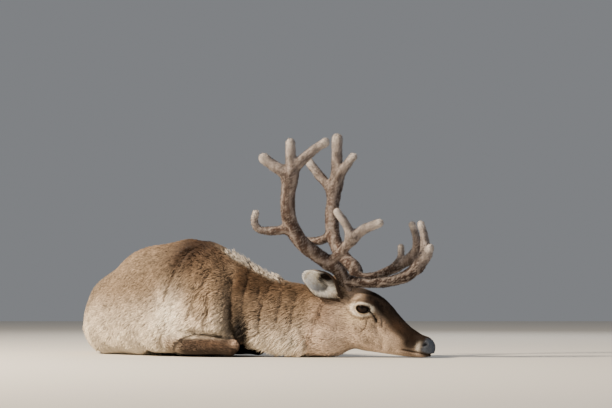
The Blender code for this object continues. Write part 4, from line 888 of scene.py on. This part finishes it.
# %% Skin
def unwrap(points):
    """u along the animal, v round it: the angle atan2(aside, height above the middle) over 2 pi."""
    along, aside = straighten(points[:, 0], points[:, 1])
    local = to_head(points)
    on_head = local[:, 0] > -0.055
    u = np.where(on_head, 0.60 + 0.38 * (local[:, 0] + 0.06) / 0.44, 0.02 + 0.56 * (along + 1.0) / 1.65)
    v_body = np.arctan2(aside, points[:, 2] - 0.15) / (2 * np.pi) + 0.5
    v_head = np.arctan2(local[:, 1], local[:, 2] + 0.01) / (2 * np.pi) + 0.5
    return np.clip(np.stack([u, 0.01 + 0.98 * np.where(on_head, v_head, v_body)], 1), 0.001, 0.999)


shells = [(body_points, body_faces), (head_points, head_faces)] + [(points, faces) for points, faces, _ in lid_meshes]
offsets = np.cumsum([0] + [len(points) for points, _ in shells])[:-1]
skin_points = np.concatenate([points for points, _ in shells])
skin_faces = np.concatenate([faces + offset for (_, faces), offset in zip(shells, offsets)])
skin_colours = markings_and_painted_light(skin_points) * 0.62
FLESH = ["head", "neck_high", "neck_low", "chest", "trunk_middle", "trunk_hind", "tail", "leg_fore_right",
         "leg_fore_left", "leg_hind_left", "leg_hind_right"]
skin = mesh_object("skin", skin_points, *quads(skin_faces), skin_colours, unwrap(skin_points))
dress(skin, SKIN, FLESH)
print("skin", len(skin_faces) * 2, "triangles")

# %% [markdown]
# ## Eyes
# A dark brown iris with a long level pupil, under a clear wet front.

# %% Eyes
for (points, faces), side, word in ((globes[0], 1, "right"), (globes[1], -1, "left")):
    local = to_head(points) - EYE * (1, side, 1)
    level = local[:, 0] * np.cos(0.24) - local[:, 2] * np.sin(0.24)
    tall = local[:, 2] * np.cos(0.24) + local[:, 0] * np.sin(0.24)
    pupil = soft(-np.hypot(level / 0.0085, tall / 0.0045), -1.1, -0.9)
    iris = soft(-np.hypot(level, tall), -0.0155, -0.0145)
    shade = rgb("#1C1513") + (rgb("#1B0F08") - rgb("#1C1513")) * iris[:, None]
    shade = shade + (rgb("#050405") - shade) * pupil[:, None]
    eye = mesh_object("eye_" + word + "_wet", points, *quads(faces), shade)
    dress(eye, EYE_WET, ["eye_" + word])
print("eyes", EYE_RADIUS * 2000, "mm across")

# %% [markdown]
# ## Antlers in velvet
# The colour runs from dark brown at the roots of the beams to pale blunt tips.

# %% Antlers
def bar_place(points, routes):
    """Which bar is nearest, how far along it (0 to 1), the angle round it and the distance to it."""
    best = np.full(len(points), 9.0)
    number, place, angle = (np.zeros(len(points)) for _ in range(3))
    for index, route in enumerate(routes):
        fine = smooth_route(route, 12)
        for step, (start, end) in enumerate(zip(fine[:-1, :3], fine[1:, :3])):
            span = end - start
            t = np.clip(((points - start) @ span) / (span @ span), 0, 1)
            off = points - start - t[:, None] * span
            gap = np.linalg.norm(off, axis=1)
            closer = gap < best
            side = unit(np.cross(span, (0.13, 0.21, 1.0)))
            turn = np.arctan2(off @ side, off @ np.cross(unit(span), side))
            best = np.where(closer, gap, best)
            number = np.where(closer, index, number)
            place = np.where(closer, (step + t) / 11, place)
            angle = np.where(closer, turn, angle)
    return number, place, angle, best


def velvet_colour(points, routes):
    """Brown below, with pale veins sin(3 angle + noise) along each branch, and greyer to the tips."""
    number, _, angle, _ = bar_place(points, list(routes.values()))
    front = np.array([name.startswith("bez") for name in routes])[number.astype(int)]
    tips = np.array([routes[name][-1, :3] for name in FREE_ENDS if name in routes])
    to_tip = np.linalg.norm(points[:, None, :] - tips[None], axis=2).min(1)
    colour = np.tile(rgb("#4F413B"), (len(points), 1))
    height = points[:, 2]

    def lay(code, weight):
        colour[:] += (rgb(code) - colour) * np.clip(weight, 0, 1)[:, None]

    lay("#2A201B", soft(-height, -0.38, -0.25) * 0.80)
    lay("#7C7471", soft(height, 0.46, 0.70) * 0.45)
    lay("#8F8783", front * soft(height, 0.36, 0.42) * 0.65)
    vein = 0.5 + 0.5 * np.sin(3 * angle + 2.5 * ripple(points, 0.06, 1))
    lay("#A19791", soft(vein, 0.60, 1.0) * 0.35)
    lay("#2B211D", soft(-vein, -0.30, 0.0) * 0.42)
    lay("#A69D98", soft(ripple(points, 0.005, 2), 0.0, 0.9) * 0.36)
    lay("#A09996", soft(-to_tip, -0.100, -0.02) * 0.50)
    lay("#CBC4BE", soft(-to_tip, -0.030, -0.010) * 0.45)
    return np.clip(colour * (1 + 0.12 * ripple(points, 0.016, 1))[:, None], 0, 1)


ANTLER_NODES = {word: [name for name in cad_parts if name.startswith("antler_" + word)]
                for word in ("right", "left")}
for (points, faces, routes), word in zip(antlers, ("right", "left")):
    number, place, angle, _ = bar_place(points, list(routes.values()))
    uv = np.stack([0.01 + 0.98 * (number + place) / len(routes), 0.01 + 0.98 * (angle / (2 * np.pi) + 0.5)], 1)
    antler_object = mesh_object("antler_" + word + "_velvet", points, *quads(faces), velvet_colour(points, routes), uv)
    dress(antler_object, VELVET, ANTLER_NODES[word])
print("antler nodes", [len(names) for names in ANTLER_NODES.values()])

# %% [markdown]
# ## Ears
# The leaf itself is skin: white inside, dark at the rim with painted shade in the hollow under it, and grey-brown on
# the back.

# %% Ear leaves
def ear_colour(points, side, inner_side):
    """White hair inside, a dark rim and back with painted shade in the cup's hollow under the rim, and a pale tip."""
    root, tip = (from_poll(np.array(place[side]) * (1, side, 1)) for place in (EAR_ROOT, EAR_TIP))
    t = ((points - root) @ (tip - root)) / ((tip - root) @ (tip - root))
    inside = np.tile(rgb("#F1EBE0"), (len(points), 1))
    inside += (rgb("#8B7766") - inside) * soft(-t, -0.22, 0.0)[:, None] * 0.8
    above = (points - root) @ LEVEL_AXES[2] - t * ((tip - root) @ LEVEL_AXES[2])
    # The dark rim, and painted shade in the cup's hollow under the upper rim.
    dark = spot(t, above, (0.42, 0.025), (0.20, 0.011)) + soft(above, 0.028, 0.036) * soft(-t, -0.80, -0.62)
    inside += (rgb("#1E1612") - inside) * np.clip(dark * 0.97, 0, 1)[:, None]
    back = np.tile(rgb("#5B4A3D"), (len(points), 1))
    back += (rgb("#CFC4B4") - back) * soft(t, 0.72, 0.95)[:, None]
    back += (rgb("#33271F") - back) * soft(-t, -0.45, -0.10)[:, None] * 0.8
    return np.where(inner_side[:, None], inside, back)


for side, word in ((1, "right"), (-1, "left")):
    points, faces = ear_mesh(side)
    sides = 66
    inner_side = (np.arange(len(points)) % sides) >= sides // 2
    uv = np.stack([(np.arange(len(points)) % sides) / sides, np.arange(len(points)) // sides / 30], 1) * 0.97 + 0.01
    leaf = mesh_object("ear_" + word + "_leaf", points, *quads(faces), ear_colour(points, side, inner_side) * 0.9, uv)
    dress(leaf, SKIN, ["ear_" + word])
print("ears", EAR_HALF * 2000, "mm across")

# %% [markdown]
# ## Tufts
# A tuft is a thin solid with a three-sided root, a three-sided middle and a pointed tip, so nine
# triangles. It leaves the skin, rises by its lift and lies along the coat's flow.

# %% Tuft maker
QUADS = np.array([[0, 1, 4, 3], [1, 2, 5, 4], [2, 0, 3, 5]])
TIPS = np.array([[3, 4, 6], [4, 5, 6], [5, 3, 6]])
LOOP = np.concatenate([QUADS.ravel(), TIPS.ravel()])
TOTALS = np.array([4, 4, 4, 3, 3, 3])
PIECE = 21500


def tufts(root, normal, lie, length, width, lift, colour, uv):
    """Seven corners a tuft: root ring, middle ring at half length and 0.7 of the lift, then the tip."""
    count = len(root)
    normal = unit(normal)
    lie = unit(lie - normal * (lie * normal).sum(1, keepdims=True))
    across = np.cross(normal, lie)
    length, width, lift = (np.broadcast_to(value, count)[:, None] for value in (length, width, lift))
    middle = root + lie * length * 0.5 + normal * length * lift * 0.70
    end = root + lie * length + normal * length * lift
    low = root - normal * 0.0018
    half, ridge = across * width / 2, normal * width * 0.30
    corners = np.stack([low - half * 0.8, low + half * 0.8, low + ridge, middle - half, middle + half,
                        middle + ridge, end], 1)
    corners[..., 2] = np.maximum(corners[..., 2], 0.0005)
    # Each tuft is darker at the root and paler at the tip: painted shade deep in the coat, and the pale tips of the
    # hairs.
    shade = np.array([0.36, 0.36, 0.42, 0.82, 0.82, 0.95, 1.18])
    colours = np.clip(colour[:, None, :] * shade[None, :, None], 0, 1)
    patch = np.array([[-1, -1], [1, -1], [0, -1], [-1, 0], [1, 0], [0, 0], [0, 1]]) * 0.0015
    return corners, colours, uv[:, None, :] + patch[None]


def coat_piece(name, parts, material):
    """Join tufts into mesh objects of at most PIECE tufts, each with the map stretched over its own part."""
    corners, colours, uv = (np.concatenate([part[index] for part in parts]) for index in range(3))
    order = np.argsort(uv[:, 0, 0], kind="stable")
    pieces = int(np.ceil(len(order) / PIECE))
    for number, chosen in enumerate(np.array_split(order, pieces)):
        place = uv[chosen, 5]
        low, high = place.min(0), place.max(0)
        local = 0.01 + 0.98 * (place - low) / np.maximum(high - low, 1e-6)
        local = local[:, None, :] + (uv[chosen] - uv[chosen][:, 5:6])
        count = len(chosen)
        loops = (LOOP[None] + 7 * np.arange(count)[:, None]).ravel()
        obj = mesh_object("%s_%d" % (name, number + 1), corners[chosen].reshape(-1, 3), loops,
                          np.tile(TOTALS, count), colours[chosen].reshape(-1, 3), local.reshape(-1, 2), smooth=False)
        dress(obj, material)
    print(name, len(order), "tufts in", pieces, "pieces,", len(order) * 9, "triangles")


def corner_normals(points, faces):
    """The mean of the faces' normals round each corner."""
    across = np.cross(points[faces[:, 2]] - points[faces[:, 0]], points[faces[:, 3]] - points[faces[:, 1]])
    normals = np.zeros_like(points)
    for corner in range(4):
        np.add.at(normals, faces[:, corner], across)
    return unit(normals)


def scatter(points, faces, normals, count, weight):
    """Random places on a mesh, as many per area as the weight at each face's middle asks for."""
    triangles = np.concatenate([faces[:, [0, 1, 2]], faces[:, [0, 2, 3]]])
    a, b, c = (points[triangles[:, corner]] for corner in range(3))
    area = np.linalg.norm(np.cross(b - a, c - a), axis=1) / 2
    share = area * weight((a + b + c) / 3, normals[triangles[:, 0]])
    chosen = draw.choice(len(triangles), size=count, p=share / share.sum())
    r1, r2 = np.sqrt(draw.random(count))[:, None], draw.random(count)[:, None]
    pick = triangles[chosen]
    mix = [1 - r1, r1 * (1 - r2), r1 * r2]
    place = sum(points[pick[:, corner]] * mix[corner] for corner in range(3))
    normal = unit(sum(normals[pick[:, corner]] * mix[corner] for corner in range(3)))
    return place, normal


def mottled(colour, root, spread):
    """Each tuft a little lighter or darker than its neighbours, and clumps of them too."""
    level = 1 + spread * draw.normal(size=len(root)) + 0.8 * spread * ripple(root, 0.014, 1)
    return colour * np.clip(level, 0.45, 1.7)[:, None]


SHARE = 1.0


def many(count):
    return int(count * SHARE)


# %% [markdown]
# ## The coat of trunk and neck
# It flows from the head to the tail and down the flanks. It is longest on the neck, and the hair
# of crest and throat stands in pale locks.

# %% Body coat
body_normals = corner_normals(body_points, body_faces)


def body_flow(root):
    """Against the line of the back, and down where the flank is steep."""
    along, aside = straighten(root[:, 0], root[:, 1])
    back = -np.stack([np.interp(along, LINE_AT, AHEAD[:, 0]), np.interp(along, LINE_AT, AHEAD[:, 1]),
                      np.zeros(len(root))], 1)
    down = np.array([0.0, 0.0, -1.0]) * (0.35 + 0.5 * soft(np.abs(aside), 0.05, 0.16))[:, None]
    return back + down, along, aside


def body_weight(place, normal):
    """No tufts below, where the animal lies, nor inside the neck, and more on the neck."""
    local = to_head(place)
    shown = soft(normal[:, 2], -0.75, -0.35) * soft(place[:, 2], 0.002, 0.012)
    along, _ = straighten(place[:, 0], place[:, 1])
    return shown * (local[:, 0] < -0.0505) * (1 + 0.9 * soft(along, 0.15, 0.25))


root, normal = scatter(body_points, body_faces, body_normals, many(88000), body_weight)
flow, along, aside = body_flow(root)
near_head = soft(to_head(root)[:, 0], -0.16, -0.06)
limb_number, limb_place, limb_angle, limb_gap = bar_place(root, LIMBS + [TAIL])
radius = np.array([route[:, 3].max() for route in LIMBS + [TAIL]])[limb_number.astype(int)]
on_limb = (limb_gap < radius + 0.006) & (root[:, 2] < 0.12) & (limb_number < len(LIMBS))
on_tail = (limb_number == len(LIMBS)) & (limb_gap < 0.030)
neck = soft(along, 0.18, 0.28)
low_neck = neck * soft(-root[:, 2], -0.16, -0.08)
length = 0.021 + 0.007 * neck + 0.008 * low_neck + 0.004 * soft(root[:, 2], 0.30, 0.40)
length = length + (0.019 - length) * near_head
length = np.where(on_limb, 0.014, np.where(on_tail, 0.045, length)) * draw.uniform(0.75, 1.2, len(root))
width = np.where(on_limb, 0.0028, 0.0042 - 0.0006 * neck) * draw.uniform(0.8, 1.2, len(root))
lift = np.where(on_limb, 0.16, 0.24 + 0.04 * neck) * draw.uniform(0.6, 1.4, len(root))
limb_ahead = np.array([unit(route[-1, :3] - route[0, :3]) for route in LIMBS + [TAIL]])[limb_number.astype(int)]
flow = np.where(on_limb[:, None], limb_ahead, np.where(on_tail[:, None], (0.0, 0.25, -1.0), flow))
side = np.cross(normal, unit(flow))
flow = unit(flow) + side * (0.22 * ripple(root, 0.045) + 0.16 * draw.normal(size=len(root)))[:, None]
colour = mottled(markings_and_painted_light(root), root, 0.21)
coat_piece("coat_body", [tufts(root, normal, flow, length, width, lift, colour, unwrap(root))], HAIR)

# %% Crest and throat locks
def lock_places(count, inside):
    """Places of the body's skin where a test on distance along, aside and up holds."""
    along, aside = straighten(body_points[:, 0], body_points[:, 1])
    chosen = np.flatnonzero(inside(along, aside, body_points[:, 2], body_normals))
    pick = draw.choice(chosen, size=count)
    return body_points[pick] + draw.normal(size=(count, 3)) * 0.0025, body_normals[pick]


def on_crest(along, aside, up, normals):
    return (along > 0.160) & (along < 0.365) & (np.abs(aside) < 0.024) & (up > 0.22)


def on_throat(along, aside, up, normals):
    ends = soft(along, 0.25, 0.30) * soft(-along, -0.49, -0.41) * soft(-up, -0.105, -0.06)
    return (ends > draw.random(len(up))) & (up > 0.012) & (np.abs(normals[:, 2]) < 0.75)


root, normal = lock_places(many(1700), on_crest)
clump = soft(ripple(root, 0.011, 2), -0.5, 0.5)
flow = body_flow(root)[0] * (1, 1, 0) + (0.0, 0.0, 0.5) + 0.25 * draw.normal(size=root.shape)
crest_colour = rgb("#4A3C31") + (rgb("#D6CDC0") - rgb("#4A3C31")) * clump[:, None]
crest = tufts(root, normal, flow, (0.012 + 0.014 * clump) * draw.uniform(0.8, 1.2, len(root)), 0.0036,
              0.35 + 0.40 * clump, mottled(crest_colour, root, 0.12), unwrap(root))
root, normal = lock_places(many(4200), on_throat)
flow = unit(body_flow(root)[0] * (1, 1, 0)) * 0.8 + np.array([0.0, 0.0, -0.75])
flow = flow + 0.20 * ripple(root, 0.02)[:, None] * np.cross(normal, flow) + 0.10 * draw.normal(size=root.shape)
pale = 0.5 * soft(straighten(root[:, 0], root[:, 1])[0], 0.275, 0.335)[:, None]
throat_colour = mottled((1 - pale) * markings_and_painted_light(root) + pale * rgb("#D9CEBC"), root, 0.17)
throat = tufts(root, normal, flow, draw.uniform(0.030, 0.055, len(root)), 0.0042,
               draw.uniform(0.08, 0.20, len(root)), throat_colour, unwrap(root))
coat_piece("coat_locks", [crest, throat], HAIR)

# %% [markdown]
# ## The coat of the head
# Short hair runs from the nose back to the ears and round the eyes. It is shortest on the muzzle.

# %% Head coat
head_normals = corner_normals(head_points, head_faces)


def head_weight(place, normal):
    local = to_head(place)
    from_eye = np.linalg.norm(local - EYE * np.stack([np.ones(len(local)), np.sign(local[:, 1]), np.ones(len(local))], 1),
                              axis=1)
    nose = soft(local[:, 0], 0.326, 0.338) * soft(local[:, 2], -0.030, -0.020)
    return soft(normal[:, 2], -0.9, -0.6) * (from_eye > 0.028) * (local[:, 0] > -0.052) * (1 - 0.95 * nose) * (
        0.7 + 0.8 * soft(local[:, 0], 0.05, 0.25))


root, normal = scatter(head_points, head_faces, head_normals, many(30000), head_weight)
local = to_head(root)
muzzle = soft(local[:, 0], 0.02, 0.26)
length = (0.0170 - 0.0120 * muzzle) * draw.uniform(0.75, 1.2, len(root))
width = (0.0030 - 0.0012 * muzzle) * draw.uniform(0.8, 1.2, len(root))
flow = -HEAD_AXES[0] - 0.35 * HEAD_AXES[2] * soft(np.abs(local[:, 1]), 0.02, 0.05)[:, None]
flow = flow + np.cross(normal, unit(flow)) * (0.18 * ripple(root, 0.03) + 0.12 * draw.normal(size=len(root)))[:, None]
colour = mottled(markings_and_painted_light(root), root, 0.11)
parts = [tufts(root, normal, flow, length, width, 0.20 * draw.uniform(0.6, 1.4, len(root)), colour, unwrap(root))]
for (points, faces, out), side in zip(lid_meshes, (1, -1)):
    lid_normals = corner_normals(points, faces)
    lid_normals = lid_normals * np.sign((lid_normals * (points - from_head(EYE * (1, side * 0.6, 1)))).sum(1))[:, None]
    furry = np.flatnonzero((out > 0.16) & (out < 0.95))
    pick = draw.choice(furry, size=many(1500))
    root, normal = points[pick] + draw.normal(size=(len(pick), 3)) * 0.0006, lid_normals[pick]
    away = root - from_head(EYE * (1, side, 1))
    flow = -HEAD_AXES[0] * 0.7 + unit(away) * 0.5
    parts.append(tufts(root, normal, flow, draw.uniform(0.004, 0.007, len(root)), 0.0013, 0.16,
                       mottled(markings_and_painted_light(root), root, 0.08), unwrap(root)))
    lashes = np.flatnonzero((out > 0.04) & (out < 0.06) & (to_head(points)[:, 2] > EYE[2] + 0.002))
    root = points[np.repeat(lashes, 3)] + draw.normal(size=(3 * len(lashes), 3)) * 0.0003
    flow = HEAD_AXES[2] * 0.25 + (from_head((0, side, 0)) - from_head((0, 0, 0))) + 0.15 * draw.normal(size=root.shape)
    parts.append(tufts(root, np.tile(HEAD_AXES[2], (len(root), 1)), flow, 0.0085, 0.0009, 0.10,
                       np.tile(rgb("#1C1512"), (len(root), 1)), unwrap(root)))
coat_piece("coat_head", parts, HAIR)

# %% [markdown]
# ## The hair of the ears
# Long white hair fills the cup, and short hair covers the back and stands past the rim.

# %% Ear coat
parts = []
for side, word in ((1, "right"), (-1, "left")):
    outer, inner, inward, axis, t, place = ear(side, 60, 61)
    for leaf, sign, count, longest, white in ((inner, 1, 4600, 0.034, True), (outer, -1, 2800, 0.011, False)):
        rows = draw.integers(4, 58, many(count))
        columns = draw.integers(0, 61, many(count))
        root = leaf[rows, columns] + draw.normal(size=(len(rows), 3)) * 0.0006
        normal = inward[rows, columns] * sign
        spread = np.cross(axis, normal) * place[rows, columns][:, None] * (0.5 if white else 0.15) * sign
        flow = axis + spread + 0.15 * draw.normal(size=root.shape)
        colour = mottled(ear_colour(root, side, np.full(len(root), white)) * (1.6 if white else 1), root, 0.18)
        uv = np.stack([columns / 61, rows / 60], 1) * 0.97 + 0.01
        lengths = longest * draw.uniform(0.6, 1.1, len(root)) * (1 - 0.5 * t[rows])
        parts.append(tufts(root, normal, flow, lengths, 0.0024, 0.42 if white else 0.18, colour, uv))
coat_piece("coat_ears", parts, HAIR)

# %% [markdown]
# ## The nap of the velvet
# Very short hair stands off the antlers all round.

# %% Velvet nap
for (points, faces, routes), word in zip(antlers, ("right", "left")):
    normals = corner_normals(points, faces)
    root, normal = scatter(points, faces, normals, many(12000), lambda place, own: np.ones(len(place)))
    number, place, angle, _ = bar_place(root, list(routes.values()))
    uv = np.stack([(number + place) / len(routes), angle / (2 * np.pi) + 0.5], 1)
    flow = draw.normal(size=root.shape) * 0.6 + (0.0, 0.0, 0.8)
    colour = mottled(velvet_colour(root, routes), root, 0.24)
    coat_piece("velvet_" + word, [tufts(root, normal, flow, 0.0038, 0.0017, 0.55, colour, uv)], VELVET)

# %% [markdown]
# ## Hooves
# The claws of the hooves stay as they are in the solids and get a dull dark horn.

# %% Hooves
claws = 0
for name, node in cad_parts.items():
    if "claw" in name:
        layer = node.data.attributes.new("Col", "FLOAT_COLOR", "POINT")
        layer.data.foreach_set("color", np.tile(np.append(rgb("#2E2723"), 1.0), len(node.data.vertices)))
        node.data.materials.clear()
        node.data.materials.append(HORN)
        claws += 1
print("claws", claws)

# %% [markdown]
# ## Floor, light and camera
# A plain pale floor, one large warm light from the animal's back left, a weak cool fill and the
# camera where the photograph was taken from.

# %% Stage
floor_mesh = bpy.data.meshes.new("floor")
floor_mesh.from_pydata([(-9, -6, 0), (9, -6, 0), (9, 12, 0), (-9, 12, 0)], [], [(0, 1, 2, 3)])
floor = bpy.data.objects.new("floor", floor_mesh)
bpy.context.scene.collection.objects.link(floor)
paper = bpy.data.materials.new("pale paper")
paper.use_nodes = True
paper.node_tree.nodes["Principled BSDF"].inputs["Base Color"].default_value = (*rgb("#D8D5CE"), 1.0)
paper.node_tree.nodes["Principled BSDF"].inputs["Roughness"].default_value = 0.9
floor_mesh.materials.append(paper)


def area_light(name, place, target, size, power, code):
    """A square lamp at a place that looks at a target: power in watts, colour as #rrggbb."""
    data = bpy.data.lights.new(name, "AREA")
    data.size = size
    data.energy = power
    data.color = rgb(code)
    lamp = bpy.data.objects.new(name, data)
    lamp.location = place
    from mathutils import Vector
    lamp.rotation_euler = (Vector(target) - Vector(place)).to_track_quat("-Z", "Y").to_euler()
    bpy.context.scene.collection.objects.link(lamp)
    return lamp


area_light("key", (-4.4, -2.3, 3.7), (0.0, -0.1, 0.2), 0.9, 1100.0, "#FFEBD0")
area_light("fill", (3.2, -4.2, 2.6), (0.2, -0.3, 0.2), 3.0, 34.0, "#E6EEFF")
area_light("back", (1.0, 4.5, 3.2), (0.1, 0.0, 0.3), 2.5, 70.0, "#FFFFFF")
world = bpy.data.worlds.new("studio")
world.use_nodes = True
world.node_tree.nodes["Background"].inputs["Color"].default_value = (0.80, 0.83, 0.88, 1.0)
world.node_tree.nodes["Background"].inputs["Strength"].default_value = 0.27
bpy.context.scene.world = world

lens = bpy.data.cameras.new("camera")
lens.sensor_width = 36.0
lens.lens = 147.06
camera = bpy.data.objects.new("camera", lens)
camera.location = (0.2027, -9.344, 0.22)
camera.rotation_euler = (np.radians(90.0) + np.arctan2(0.329, 9.0), 0.0, 0.0)
bpy.context.scene.collection.objects.link(camera)
bpy.context.scene.camera = camera

# %% Sizes and the end
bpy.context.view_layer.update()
triangles = sum(len(obj.data.loops) - 2 * len(obj.data.polygons) for obj in made)
print("pieces", len(made), "triangles", triangles)
